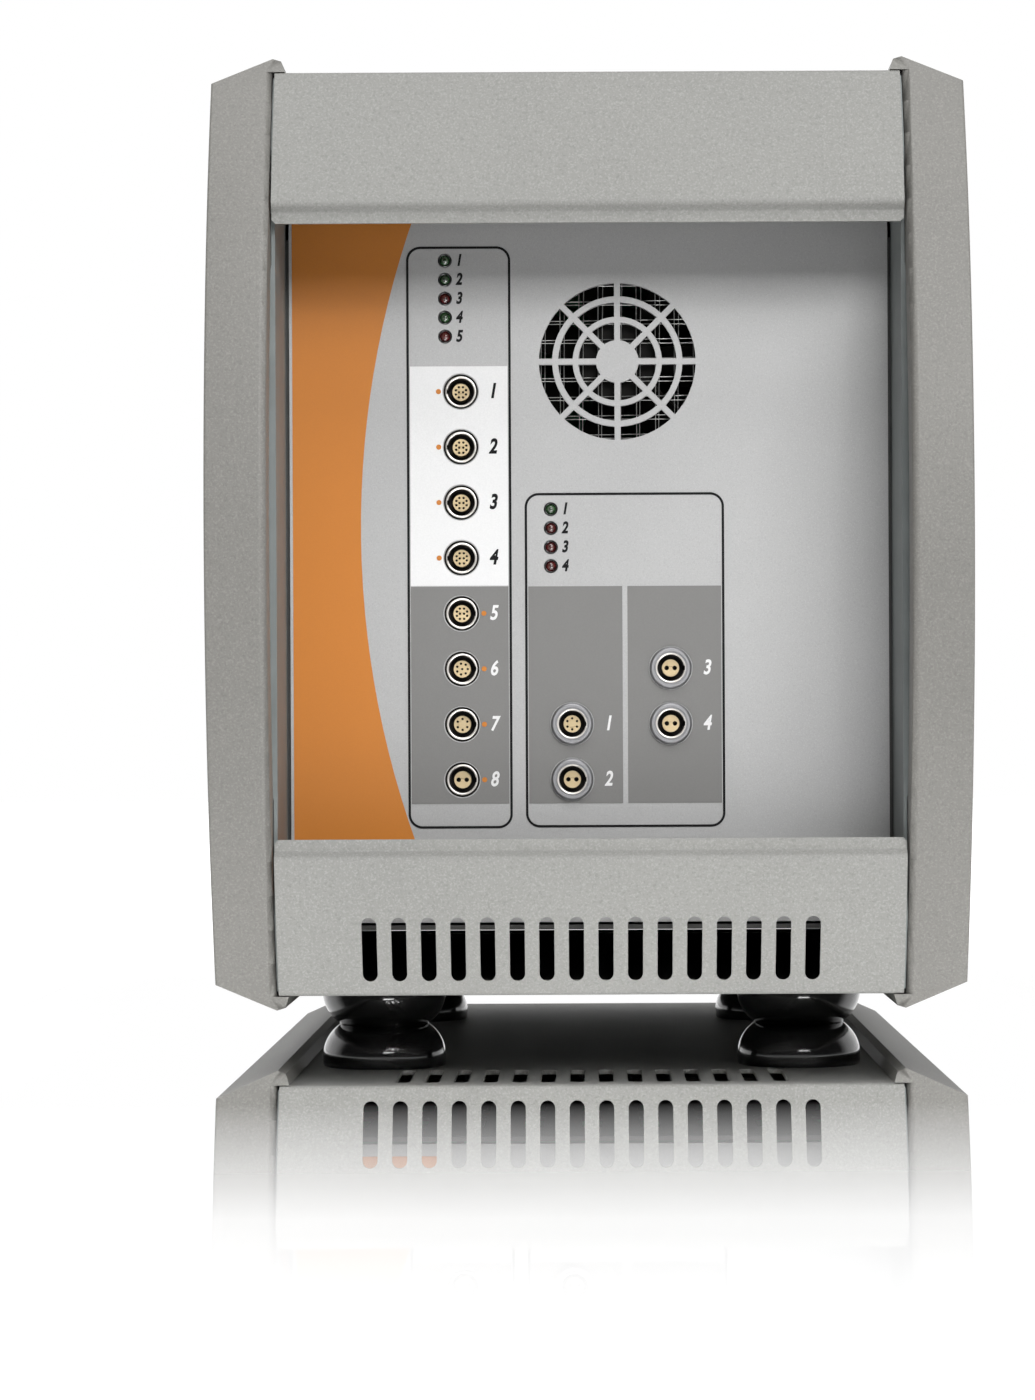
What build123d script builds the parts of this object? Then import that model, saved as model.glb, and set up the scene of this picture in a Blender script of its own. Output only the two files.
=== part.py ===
from build123d import *
import os
from math import asin, cos, pi, sin, sqrt

# Millimetres. X is to the right, Y to the back and Z up. The floor is Z = 0 and the
# origin is under the middle of the case. Heights called a rise are counted from the
# middle of the case, where its bowed front stands furthest forward.

# Whole case
case_width = 244.0
case_depth = 450.0
cover_height = 300.0
bow_radius = 345.0

# Side cheeks: hollow shells whose ridges lap over the covers
cheek_width = 19.7
cheek_wall = 3.0
cheek_return = 13.5
cheek_ridge = 4.8
cheek_slope = 8.7
cheek_lap = 4.0
lap_crest = 2.8
lap_drop = 0.9
lap_gap = 0.2
cheek_edge_round = 2.5
cheek_corner_round = 0.8

# Covers: sheets folded into the bowed fascias, with a joggled lip round the recess
cover_sheet = 1.5
cover_side_gap = 0.8
cover_end_gap = 1.0
fascia_height = 45.1
joggle_depth = 3.0
joggle_drop = 2.4
lip_height = 3.6
lip_chamfer = 1.2
top_fold_radius = 2.0
joggle_outer_radius = 2.2
joggle_inner_radius = 0.8

# Air slots in the lower fascia and in the bottom cover
slot_width = 4.9
slot_pitch = 9.55
fascia_slot_count = 16
fascia_slot_length = 21.0
fascia_slot_rise = 4.8
floor_slot_count = 14
floor_slot_length = 50.0
floor_slot_start = 11.0

# Chassis side walls
wall_sheet = 1.2
wall_gap = 0.2
wall_setback = 25.0
wall_front_gap = 0.5
wall_flange = 12.0
front_flange = 8.0

# Shelves of the card cage
shelf_sheet = 1.5
shelf_rise = 19.9
shelf_back_gap = 28.5
shelf_flange = 10.0
shelf_slot_length = 40.0
shelf_slot_width = 7.0
shelf_slot_rows = 5
shelf_slot_columns = 9
shelf_slot_row_pitch = 60.0
shelf_slot_column_pitch = 20.0

# Front panel
panel_setback = 67.0
panel_sheet = 2.5
panel_side_gap = 1.25
panel_end_gap = 0.9
panel_corner = 1.0
bracket_leg = 12.0
bracket_sheet = 1.5
bracket_height = 200.0

# Fan outlet in the front panel, and the mesh behind it
vent_x = 9.6
vent_rise = 58.9
vent_rings = ((7.1, 13.0), (14.9, 19.7), (21.7, 26.1))
vent_spokes = 8
vent_spoke_width = 2.0
mesh_pitch = 6.35
mesh_wire = 0.6
mesh_side = 59.0
mesh_corner = 4.0

# Round sockets
socket_pitch = 18.47
lowest_socket_rise = -80.2
pstat_x = -42.6
link_x = -6.0
cell_x = 26.9
socket_bore_radius = 4.42
socket_mouth_radius = 4.75
socket_mouth_depth = 0.4
socket_bore_step = 0.2
socket_bore_depth = 9.0
socket_length = 20.0
insert_radius = 2.85
insert_fit = 0.05
insert_recess = 2.4
insert_tail = 1.5
key_width = 1.3
key_depth = 0.5
key_length = 6.0
contact_depth = 4.0
contact_ring_radius = 1.84
small_contact_radius = 0.4
power_contact_radius = 0.75
inner_contact_offset = 0.68
power_contact_offset = 1.34
flange_radius = 7.0
flange_thickness = 1.8
flange_edge = 0.5
face_barrel_radius = 5.95
face_hole_gap = 0.12
rear_barrel_radius = 5.15
rear_hole_gap = 0.65
rear_socket_recess = 0.3
socket_nut_flats = 14.0
socket_nut_thickness = 2.5
nut_thread_gap = 0.05

# Plate behind the panel that carries the left-hand column of sockets
socket_plate_sheet = 2.0
socket_plate_width = 32.0
socket_plate_height = 150.0
socket_plate_hem = 1.5

# Indicator lamps
lamp_pitch = 6.32
lamp_radius = 2.1
lamp_gap = 0.25
lamp_dome = 0.7
lamp_foot_radius = 2.6
lamp_foot = 1.0
pstat_lamp_x = -47.7
pstat_lamp_top = 92.7
pstat_lamp_count = 5
booster_lamp_x = -12.8
booster_lamp_top = 9.8
booster_lamp_count = 4
lamp_holder_thickness = 4.0
lamp_holder_width = 8.0
lamp_holder_margin = 4.0

# Printed fields and lines on the front panel
print_thickness = 0.12
field_gap = 0.3
orange_side_gap = 1.0
orange_end_gap = 4.0
arc_radius = 311.7
arc_left = -76.0
arc_rise = 2.9
frame_line = 0.8
frame_corner = 4.3
pstat_frame = (-60.2, -26.3, -96.0, 97.0)
booster_frame = (-21.1, 44.5, -95.8, 14.8)
white_field_rise = (-15.6, 57.5)
grey_field_rise = (-88.2, -15.9)
booster_divider = (10.9, 12.6)
dot_radius = 0.85
dot_offset = 7.4

# Fans
fan_wall = 1.3
fan_duct_gap = 1.5
fan_flange = 3.5
fan_corner = 4.0
fan_screw_radius = 2.15
fan_screw_inset = 4.6
fan_strut_width = 3.0
fan_base = 2.5
fan_boss_radius = 4.5
fan_shaft_radius = 1.5
fan_bearing_gap = 0.05
fan_shaft_end_gap = 0.5
fan_cup_wall = 1.5
fan_front_gap = 1.5
fan_tip_gap = 0.8
blade_sheet = 1.2
blade_count = 7
blade_height_share = 0.85
blade_root_pitch = 52
blade_tip_pitch = 34
blade_root_chord = 0.95
blade_tip_chord = 1.05
front_fan_side = 60.0
front_fan_depth = 25.0
front_fan_hub = 14.0
rear_fan_side = 80.0
rear_fan_depth = 25.0
rear_fan_hub = 18.0

# Rear panel
rear_sheet = 1.5
rear_inset = 8.0
rear_fit = 0.2
rear_flange = 10.0
rear_fan_x = 0.0
rear_fan_rise = 62.0
rear_fan_hole = 38.0
guard_wire = 0.8
guard_rings = 4
guard_first_ring = 9.0
guard_eye_radius = 3.6
guard_standoff = 3.0
guard_spoke_turns = (45, 135)

# Mains inlet with its fuse drawer and rocker switch
inlet_x = -58.0
inlet_rise = -75.0
inlet_plate_width = 50.0
inlet_plate_height = 78.0
inlet_plate = 2.5
inlet_plate_chamfer = 1.0
inlet_body_width = 46.0
inlet_body_height = 74.0
inlet_body_depth = 28.0
inlet_fit = 0.3
well_width = 24.4
well_height = 16.6
well_depth = 17.0
well_corner = 4.0
well_offset = -21.0
pin_width = 4.0
pin_thickness = 2.0
pin_length = 12.0
pin_root = 9.0
pin_spread = 7.0
pin_earth_rise = 2.0
drawer_width = 24.0
drawer_height = 9.0
drawer_depth = 20.0
drawer_offset = 3.0
drawer_fit = 0.3
drawer_lip = 1.2
drawer_lip_lap = 1.0
drawer_finger_width = 10.0
drawer_finger_depth = 0.8
drawer_finger_height = 3.0
rocker_width = 20.0
rocker_height = 12.4
rocker_gap = 1.0
rocker_side_gap = 0.5
rocker_crown = 1.9
rocker_shoulder = 0.9
rocker_pivot_depth = 5.0
rocker_tilt = 8.0
rocker_pin_radius = 1.5
rocker_pin_gap = 0.05
rocker_pin_length = 1.5
rocker_well_depth = 14.0
rocker_offset = 23.0

# Network jack and earth stud
jack_x = 40.0
jack_rise = -95.0
jack_width = 16.2
jack_height = 14.0
jack_depth = 18.0
jack_flange = 1.0
jack_flange_sheet = 0.8
jack_hole_width = 11.8
jack_hole_height = 6.8
jack_hole_depth = 13.0
jack_latch_width = 6.0
jack_latch_height = 2.2
jack_hole_rise = 0.5
jack_fit = 0.2
stud_x = 70.0
stud_rise = -95.0
stud_radius = 2.0
stud_out = 6.8
stud_in = 8.0
stud_hole_gap = 0.1
stud_nut_flats = 7.0
stud_nut_thickness = 3.2

# Card cage contents
board_sheet = 1.6
board_gap = 0.2
guide_width = 7.0
guide_height = 6.0
guide_floor = 2.5
guide_length = 150.0
guide_start = 30.0
board_front_gap = 25.0
pstat_board_x = -42.6
booster_board_x = 52.0
backplane_to_rear = 153.5
backplane_sheet = 2.4
backplane_side_gap = 5.9
connector_depth = 9.0
connector_width = 8.0
connector_height = 90.0
sink_base = 4.0
sink_fin_height = 24.0
sink_fin_sheet = 1.5
sink_fin_count = 8
sink_height = 90.0
sink_front_gap = 45.0
sink_back_gap = 28.5
sink_rise = 58.9
supply_width = 84.0
supply_height = 62.0
supply_length = 95.0
supply_x = 45.0
supply_back_gap = 26.1
supply_slot_count = 9
supply_slot_length = 58.0
supply_slot_width = 3.5
supply_slot_depth = 4.0

# Feet: glossy bowls held by one screw each
foot_height = 14.6
foot_radius = 21.3
foot_contact_radius = 15.0
foot_inset = 30.7
front_foot_setback = 118.0
rear_foot_setback = 356.0
foot_rim = 2.0
foot_bulge_share = 0.3
foot_recess_radius = 4.6
foot_recess_depth = 8.0
foot_recess_chamfer = 0.6
foot_screw_radius = 2.0
foot_screw_gap = 0.15
foot_screw_head_radius = 3.7
foot_screw_head = 2.6
foot_screw_reach = 4.0

# Places that follow from the sizes above
half_cover = cover_height / 2
mid_z = foot_height + half_cover
front_y = -case_depth / 2
back_y = case_depth / 2
outer_x = case_width / 2
cheek_x = outer_x - cheek_width
ridge_rise = half_cover + cheek_ridge
corner_rise = ridge_rise - cheek_slope
cover_half_width = cheek_x - cover_side_gap
cover_back_y = back_y - cover_end_gap
wall_outer_x = cheek_x - wall_gap
wall_x = wall_outer_x - wall_sheet
wall_front_y = front_y + wall_setback
wall_half_height = half_cover - cover_sheet
shelf_top_z = foot_height + shelf_rise + shelf_sheet
cage_half_height = mid_z - shelf_top_z
panel_y = front_y + panel_setback
panel_back_y = panel_y + panel_sheet
panel_half_width = wall_x - panel_side_gap
panel_half_height = cage_half_height - panel_end_gap
rear_y = back_y - rear_inset
rear_inner_y = rear_y - rear_sheet
backplane_y = rear_inner_y - backplane_to_rear
shelf_length = rear_inner_y - shelf_back_gap - panel_y
foot_x = cheek_x - foot_inset
vent_z = mid_z + vent_rise

os.makedirs("parts", exist_ok=True)


def save(part, label):
    part.label = label
    export_step(part, f"parts/{label}.step")


def bow_y(rise, inset=0.0):
    """Y of the bowed front, taken a distance behind its face, at a rise from the middle."""
    radius = bow_radius - inset
    return front_y + bow_radius - sqrt(radius**2 - rise**2)


def facing_front(x, y, rise):
    """Plane that looks forwards: its x is the case's X, its y is up."""
    return Plane(origin=(x, y, mid_z + rise), x_dir=(1, 0, 0), z_dir=(0, -1, 0))


def facing_back(x, y, rise):
    """Plane that looks backwards: its x is the case's -X, its y is up."""
    return Plane(origin=(x, y, mid_z + rise), x_dir=(-1, 0, 0), z_dir=(0, 1, 0))


def bowed_side_view(plane_x, inset, end_y, half_height):
    """Side view of the case: bowed in front, straight at the back."""
    start_y = bow_y(half_height, inset)
    with BuildSketch(Plane.YZ.offset(plane_x)) as view:
        with BuildLine():
            ThreePointArc(
                (start_y, mid_z - half_height),
                (front_y + inset, mid_z),
                (start_y, mid_z + half_height),
            )
            Polyline(
                (start_y, mid_z + half_height),
                (end_y, mid_z + half_height),
                (end_y, mid_z - half_height),
                (start_y, mid_z - half_height),
            )
        make_face()
    return view.sketch


# Side cheeks
def cheek_section():
    """The hollow part of the right cheek, seen from the back."""
    with BuildSketch(Plane.XZ.offset(-back_y)) as section:
        with BuildLine():
            Polyline(
                (cheek_x, mid_z - ridge_rise),
                (outer_x, mid_z - corner_rise),
                (outer_x, mid_z + corner_rise),
                (cheek_x, mid_z + ridge_rise),
                close=True,
            )
        make_face()
    return section.sketch


def lap_section():
    """The two noses that lap over the covers, joined to the cheek."""
    with BuildSketch(Plane.XZ.offset(-back_y)) as section:
        for side in (-1, 1):
            with BuildLine():
                Polyline(
                    (cheek_x + cheek_wall, mid_z + side * (half_cover + lap_gap)),
                    (cheek_x - cheek_lap, mid_z + side * (half_cover + lap_gap)),
                    (cheek_x - lap_crest, mid_z + side * (ridge_rise - lap_drop)),
                    (cheek_x, mid_z + side * ridge_rise),
                    (
                        cheek_x + cheek_wall,
                        mid_z + side * (ridge_rise - cheek_slope * cheek_wall / cheek_width),
                    ),
                    close=True,
                )
            make_face()
    return section.sketch


with BuildPart() as cheek_cavity:
    with BuildSketch(Plane.XZ.offset(-back_y)) as cavity_section:
        add(cheek_section())
        offset(amount=-cheek_wall, kind=Kind.INTERSECTION)
    extrude(amount=case_depth)
    extrude(
        bowed_side_view(cheek_x, cheek_wall, back_y - cheek_wall, half_cover + cheek_ridge),
        amount=cheek_width,
        mode=Mode.INTERSECT,
    )

with BuildPart() as right_cheek:
    extrude(cheek_section(), amount=case_depth)
    extrude(lap_section(), amount=case_depth)
    extrude(
        bowed_side_view(cheek_x - cheek_lap, 0, back_y, half_cover + cheek_ridge),
        amount=cheek_width + cheek_lap,
        mode=Mode.INTERSECT,
    )
    bowed_edges = right_cheek.edges().filter_by(GeomType.CIRCLE).sort_by(Edge.length)
    fillet(bowed_edges[-1], cheek_edge_round)
    bowed_edges = right_cheek.edges().filter_by(GeomType.CIRCLE).sort_by(Axis.X)
    fillet(bowed_edges[-1], cheek_corner_round)
    add(cheek_cavity.part, mode=Mode.SUBTRACT)
    extrude(
        bowed_side_view(
            cheek_x,
            cheek_return,
            back_y - cheek_return,
            half_cover - cheek_return,
        ),
        amount=cheek_wall,
        mode=Mode.SUBTRACT,
    )
save(right_cheek.part, "right_cheek")

with BuildPart() as left_cheek:
    mirror(right_cheek.part, about=Plane.YZ)
save(left_cheek.part, "left_cheek")

# Covers
fascia_end = half_cover - fascia_height
joggle_y = bow_y(fascia_end) + joggle_depth
lip_start = fascia_end - joggle_drop
lip_end = lip_start - lip_height
cover_corner_y = bow_y(half_cover)

with BuildPart() as cover_blank:
    with BuildSketch(Plane.YZ.offset(-cover_half_width)) as cover_profile:
        with BuildLine() as fold:
            Line((cover_back_y, mid_z - half_cover), (cover_corner_y, mid_z - half_cover))
            middle_rise = (half_cover + fascia_end) / 2
            ThreePointArc(
                (cover_corner_y, mid_z - half_cover),
                (bow_y(middle_rise), mid_z - middle_rise),
                (bow_y(fascia_end), mid_z - fascia_end),
            )
            Polyline(
                (bow_y(fascia_end), mid_z - fascia_end),
                (joggle_y, mid_z - lip_start),
                (joggle_y, mid_z - lip_end),
            )
            for rise, y, radius in (
                (lip_start, joggle_y, joggle_inner_radius),
                (fascia_end, bow_y(fascia_end), joggle_outer_radius),
                (half_cover, cover_corner_y, top_fold_radius),
            ):
                bend = fold.vertices().sort_by_distance((y, mid_z - rise))[0]
                fillet(bend, radius)
            offset(amount=cover_sheet, side=Side.RIGHT)
        make_face()
    extrude(amount=2 * cover_half_width)
    lip_top_z = mid_z - lip_end
    sheet_edges = cover_blank.edges().filter_by(lambda edge: edge.length < 2 * cover_sheet)
    lip_corners = sheet_edges.filter_by_position(Axis.Z, lip_top_z - lap_gap, lip_top_z + lap_gap)
    chamfer(lip_corners, lip_chamfer)

with BuildPart() as top_cover:
    mirror(cover_blank.part, about=Plane.XY.offset(mid_z))
save(top_cover.part, "top_cover")

with BuildPart() as bottom_cover:
    add(cover_blank.part)
    slot_middle = fascia_slot_rise + fascia_slot_length / 2 - half_cover
    with BuildSketch(facing_front(0, front_y, slot_middle)):
        with GridLocations(slot_pitch, 0, fascia_slot_count, 1):
            SlotOverall(fascia_slot_length, slot_width, rotation=90)
    extrude(amount=front_y - cover_corner_y - cover_sheet, mode=Mode.SUBTRACT)
    with BuildSketch(Plane.XY.offset(foot_height)):
        with Locations((0, cover_corner_y + floor_slot_start + floor_slot_length / 2)):
            with GridLocations(slot_pitch, 0, floor_slot_count, 1):
                SlotOverall(floor_slot_length, slot_width, rotation=90)
    extrude(amount=cover_sheet, mode=Mode.SUBTRACT)
    foot_places = [
        (side * foot_x, front_y + setback)
        for setback in (front_foot_setback, rear_foot_setback)
        for side in (-1, 1)
    ]
    with BuildSketch(Plane.XY.offset(foot_height)):
        with Locations(*foot_places):
            Circle(foot_screw_radius + foot_screw_gap)
    extrude(amount=cover_sheet, mode=Mode.SUBTRACT)
save(bottom_cover.part, "bottom_cover")

# Chassis side walls: channels with an outward flange along the recess
flange_fall = wall_setback - cheek_return - wall_gap
return_radius = bow_radius - cheek_return
front_flange_half = sqrt(2 * return_radius * flange_fall - flange_fall**2)

with BuildPart() as right_side_wall:
    with BuildSketch(Plane.XZ.offset(-cover_back_y)):
        with Locations((wall_outer_x, mid_z)):
            Rectangle(wall_sheet, 2 * wall_half_height, align=(Align.MAX, Align.CENTER))
        with Locations((wall_outer_x, mid_z + wall_half_height)):
            Rectangle(wall_flange, wall_sheet, align=(Align.MAX, Align.MAX))
        with Locations((wall_outer_x, mid_z - wall_half_height)):
            Rectangle(wall_flange, wall_sheet, align=(Align.MAX, Align.MIN))
    extrude(amount=cover_back_y - wall_front_y)
    extrude(
        bowed_side_view(
            wall_outer_x - wall_flange,
            cover_sheet + wall_front_gap,
            cover_back_y,
            wall_half_height,
        ),
        amount=wall_flange,
        mode=Mode.INTERSECT,
    )
    with BuildSketch(Plane.XZ.offset(-wall_front_y)):
        with Locations((wall_x, mid_z)):
            Rectangle(front_flange, 2 * front_flange_half, align=(Align.MIN, Align.CENTER))
    extrude(amount=-wall_sheet)
save(right_side_wall.part, "right_side_wall")

with BuildPart() as left_side_wall:
    mirror(right_side_wall.part, about=Plane.YZ)
save(left_side_wall.part, "left_side_wall")

# Shelves of the card cage, folded down or up along their sides
with BuildPart() as lower_shelf:
    with BuildSketch(Plane.XZ.offset(-panel_y)):
        with Locations((0, shelf_top_z)):
            Rectangle(2 * wall_x, shelf_sheet, align=(Align.CENTER, Align.MAX))
        for side in (-1, 1):
            with Locations((side * (wall_x - shelf_sheet / 2), shelf_top_z)):
                Rectangle(shelf_sheet, shelf_flange, align=(Align.CENTER, Align.MAX))
    extrude(amount=-shelf_length)
    with BuildSketch(Plane.XY.offset(shelf_top_z)):
        with Locations((0, panel_y + shelf_length / 2)):
            with GridLocations(
                shelf_slot_column_pitch,
                shelf_slot_row_pitch,
                shelf_slot_columns,
                shelf_slot_rows,
            ):
                SlotOverall(shelf_slot_length, shelf_slot_width, rotation=90)
    extrude(amount=-shelf_sheet, mode=Mode.SUBTRACT)
save(lower_shelf.part, "lower_shelf")

with BuildPart() as upper_shelf:
    mirror(lower_shelf.part, about=Plane.XY.offset(mid_z))
save(upper_shelf.part, "upper_shelf")


# Sockets: name, X, row from the bottom, contacts, side of the key, mounting
def socket_rise(row):
    """Rise of a row of sockets above the middle of the case."""
    return lowest_socket_rise + row * socket_pitch


pstat_contact_count = (10, 10, 10, 10, 10, 8, 6, 2)
left_key_count = 4
sockets = []
for index, contacts in enumerate(pstat_contact_count):
    key_side = -1 if index < left_key_count else 1
    row = len(pstat_contact_count) - 1 - index
    sockets.append((f"pstat_socket_{index + 1}", pstat_x, row, contacts, key_side, "rear"))
sockets.append(("booster_socket_1", link_x, 1, 6, 1, "face"))
sockets.append(("booster_socket_2", link_x, 0, 2, 1, "face"))
sockets.append(("booster_socket_3", cell_x, 2, 2, 1, "face"))
sockets.append(("booster_socket_4", cell_x, 1, 2, 1, "face"))

rear_places = [(x, mid_z + socket_rise(row)) for _, x, row, _, _, kind in sockets if kind == "rear"]
face_places = [(x, mid_z + socket_rise(row)) for _, x, row, _, _, kind in sockets if kind == "face"]

# The mouth of a socket stands at this Y, and its length runs backwards from there
mouth_y = {"rear": panel_y + rear_socket_recess, "face": panel_y - flange_thickness}
plate_front_y = panel_back_y + socket_plate_sheet
rear_socket_flange_y = plate_front_y - mouth_y["rear"]


def socket_shell(kind, key_side):
    """Turned shell about its own Z, with its mouth at 0 and its tail at -socket_length."""
    with BuildPart() as shell:
        with BuildSketch(Plane.XZ):
            with BuildLine():
                if kind == "face":
                    outside = [
                        (flange_radius - flange_edge, 0),
                        (flange_radius, -flange_edge),
                        (flange_radius, -flange_thickness),
                        (face_barrel_radius, -flange_thickness),
                    ]
                else:
                    outside = [
                        (rear_barrel_radius, 0),
                        (rear_barrel_radius, flange_thickness - rear_socket_flange_y),
                        (flange_radius, flange_thickness - rear_socket_flange_y),
                        (flange_radius, -rear_socket_flange_y),
                        (face_barrel_radius, -rear_socket_flange_y),
                    ]
                Polyline(
                    (socket_mouth_radius, 0),
                    *outside,
                    (face_barrel_radius, -socket_length),
                    (insert_radius + insert_fit, -socket_length),
                    (insert_radius + insert_fit, -socket_bore_depth),
                    (socket_bore_radius - socket_bore_step, -socket_bore_depth),
                    (socket_bore_radius - socket_bore_step, -insert_recess),
                    (socket_bore_radius, -insert_recess),
                    (socket_bore_radius, -socket_mouth_depth),
                    close=True,
                )
            make_face()
        revolve(axis=Axis.Z)
        with Locations((key_side * socket_bore_radius, 0, 0)):
            Box(
                2 * key_depth,
                key_width,
                key_length,
                align=(Align.CENTER, Align.CENTER, Align.MAX),
                mode=Mode.SUBTRACT,
            )
    return shell.part


def contact_places(contacts):
    """Contact holes of an insert: (x, y, radius) of each."""
    if contacts == 2:
        return [(side * power_contact_offset, 0, power_contact_radius) for side in (-1, 1)]
    ring = {10: 8, 8: 7, 6: 6}[contacts]
    first = {10: pi / 8, 8: 0, 6: pi / 2}[contacts]
    places = [
        (
            contact_ring_radius * cos(first + 2 * pi * step / ring),
            contact_ring_radius * sin(first + 2 * pi * step / ring),
            small_contact_radius,
        )
        for step in range(ring)
    ]
    if contacts == 10:
        places += [(side * inner_contact_offset, 0, small_contact_radius) for side in (-1, 1)]
    if contacts == 8:
        places.append((0, 0, small_contact_radius))
    return places


def socket_insert(contacts):
    """Moulded insert about its own Z, counted from the mouth of its shell."""
    with BuildPart() as insert:
        with BuildSketch(Plane.XY.offset(-insert_recess)):
            Circle(insert_radius)
        extrude(amount=insert_recess - socket_length - insert_tail)
        with BuildSketch(Plane.XY.offset(-insert_recess)):
            for x, y, radius in contact_places(contacts):
                with Locations((x, y)):
                    Circle(radius)
        extrude(amount=-contact_depth, mode=Mode.SUBTRACT)
    return insert.part


inserts_by_name = {"signal_inserts": (10, 8, 6), "power_inserts": (2,)}

for name, x, row, contacts, key_side, kind in sockets:
    with BuildPart() as socket:
        with Locations(facing_front(x, mouth_y[kind], socket_rise(row))):
            add(socket_shell(kind, key_side))
    save(socket.part, name)

for name, contact_counts in inserts_by_name.items():
    with BuildPart() as inserts:
        for contacts in contact_counts:
            places = [
                facing_front(x, mouth_y[kind], socket_rise(row))
                for _, x, row, count, _, kind in sockets
                if count == contacts
            ]
            with Locations(*places):
                add(socket_insert(contacts))
    save(inserts.part, name)

with BuildPart() as socket_nuts:
    for places, y in (
        (face_places, panel_back_y),
        (rear_places, plate_front_y + socket_plate_sheet),
    ):
        with BuildSketch(Plane.XZ.offset(-y)):
            with Locations(*places):
                RegularPolygon(socket_nut_flats / 2, 6, major_radius=False)
                Circle(face_barrel_radius + nut_thread_gap, mode=Mode.SUBTRACT)
        extrude(amount=-socket_nut_thickness)
save(socket_nuts.part, "socket_nuts")

# Lamps
pstat_lamp_places = [
    (pstat_lamp_x, mid_z + pstat_lamp_top - step * lamp_pitch) for step in range(pstat_lamp_count)
]
booster_lamp_places = [
    (booster_lamp_x, mid_z + booster_lamp_top - step * lamp_pitch)
    for step in range(booster_lamp_count)
]
lamp_places = pstat_lamp_places + booster_lamp_places
green_places = [pstat_lamp_places[0], pstat_lamp_places[1], pstat_lamp_places[3]]
green_places.append(booster_lamp_places[0])
red_places = [place for place in lamp_places if place not in green_places]


def lamp():
    """Domed lamp about its own Z: 0 is the panel's front face, and the dome stands out."""
    rear = panel_sheet + lamp_holder_thickness
    dome_radius = (lamp_radius**2 + (2 * lamp_dome) ** 2) / (4 * lamp_dome)
    half_turn = asin(lamp_radius / dome_radius) / 2
    with BuildPart() as lens:
        with BuildSketch(Plane.XZ):
            with BuildLine():
                Line((0, lamp_dome), (0, -rear - lamp_foot))
                Polyline(
                    (0, -rear - lamp_foot),
                    (lamp_foot_radius, -rear - lamp_foot),
                    (lamp_foot_radius, -rear),
                    (lamp_radius, -rear),
                    (lamp_radius, -lamp_dome),
                )
                ThreePointArc(
                    (lamp_radius, -lamp_dome),
                    (
                        dome_radius * sin(half_turn),
                        lamp_dome - dome_radius * (1 - cos(half_turn)),
                    ),
                    (0, lamp_dome),
                )
            make_face()
        revolve(axis=Axis.Z)
    return lens.part


for name, places in (("green_lamps", green_places), ("red_lamps", red_places)):
    with BuildPart() as lamps:
        with Locations(*[facing_front(x, panel_y, z - mid_z) for x, z in places]):
            add(lamp())
    save(lamps.part, name)

with BuildPart() as lamp_holders:
    with BuildSketch(Plane.XZ.offset(-panel_back_y)):
        for places in (pstat_lamp_places, booster_lamp_places):
            middle = (places[0][1] + places[-1][1]) / 2
            height = places[0][1] - places[-1][1] + 2 * lamp_holder_margin
            with Locations((places[0][0], middle)):
                Rectangle(lamp_holder_width, height)
        with Locations(*lamp_places):
            Circle(lamp_radius + insert_fit, mode=Mode.SUBTRACT)
    extrude(amount=-lamp_holder_thickness)
save(lamp_holders.part, "lamp_holders")


# Front panel
def vent_openings():
    """Ring openings of the fan outlet, crossed by its spokes."""
    with BuildSketch() as rings:
        for inner, outer in vent_rings:
            with BuildSketch(mode=Mode.PRIVATE) as ring:
                Circle(outer)
                Circle(inner, mode=Mode.SUBTRACT)
            add(ring.sketch)
        with PolarLocations(0, vent_spokes // 2, angular_range=180):
            spoke_length = 2 * vent_rings[-1][1] + vent_spoke_width
            Rectangle(spoke_length, vent_spoke_width, mode=Mode.SUBTRACT)
    return rings.sketch


with BuildPart() as front_panel:
    with BuildSketch(Plane.XZ.offset(-panel_y)):
        with Locations((0, mid_z)):
            RectangleRounded(2 * panel_half_width, 2 * panel_half_height, panel_corner)
        with Locations((vent_x, vent_z)):
            add(vent_openings(), mode=Mode.SUBTRACT)
        with Locations(*rear_places):
            Circle(rear_barrel_radius + rear_hole_gap, mode=Mode.SUBTRACT)
        with Locations(*face_places):
            Circle(face_barrel_radius + face_hole_gap, mode=Mode.SUBTRACT)
        with Locations(*lamp_places):
            Circle(lamp_radius + lamp_gap, mode=Mode.SUBTRACT)
    extrude(amount=-panel_sheet)
save(front_panel.part, "front_panel")

with BuildPart() as panel_brackets:
    with BuildSketch(Plane.XY.offset(mid_z - bracket_height / 2)):
        for side in (-1, 1):
            with BuildLine():
                Polyline(
                    (side * wall_x, panel_back_y),
                    (side * (wall_x - bracket_leg), panel_back_y),
                    (side * (wall_x - bracket_leg), panel_back_y + bracket_sheet),
                    (side * (wall_x - bracket_sheet), panel_back_y + bracket_sheet),
                    (side * (wall_x - bracket_sheet), panel_back_y + bracket_leg),
                    (side * wall_x, panel_back_y + bracket_leg),
                    close=True,
                )
            make_face()
    extrude(amount=bracket_height)
save(panel_brackets.part, "panel_brackets")

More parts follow.
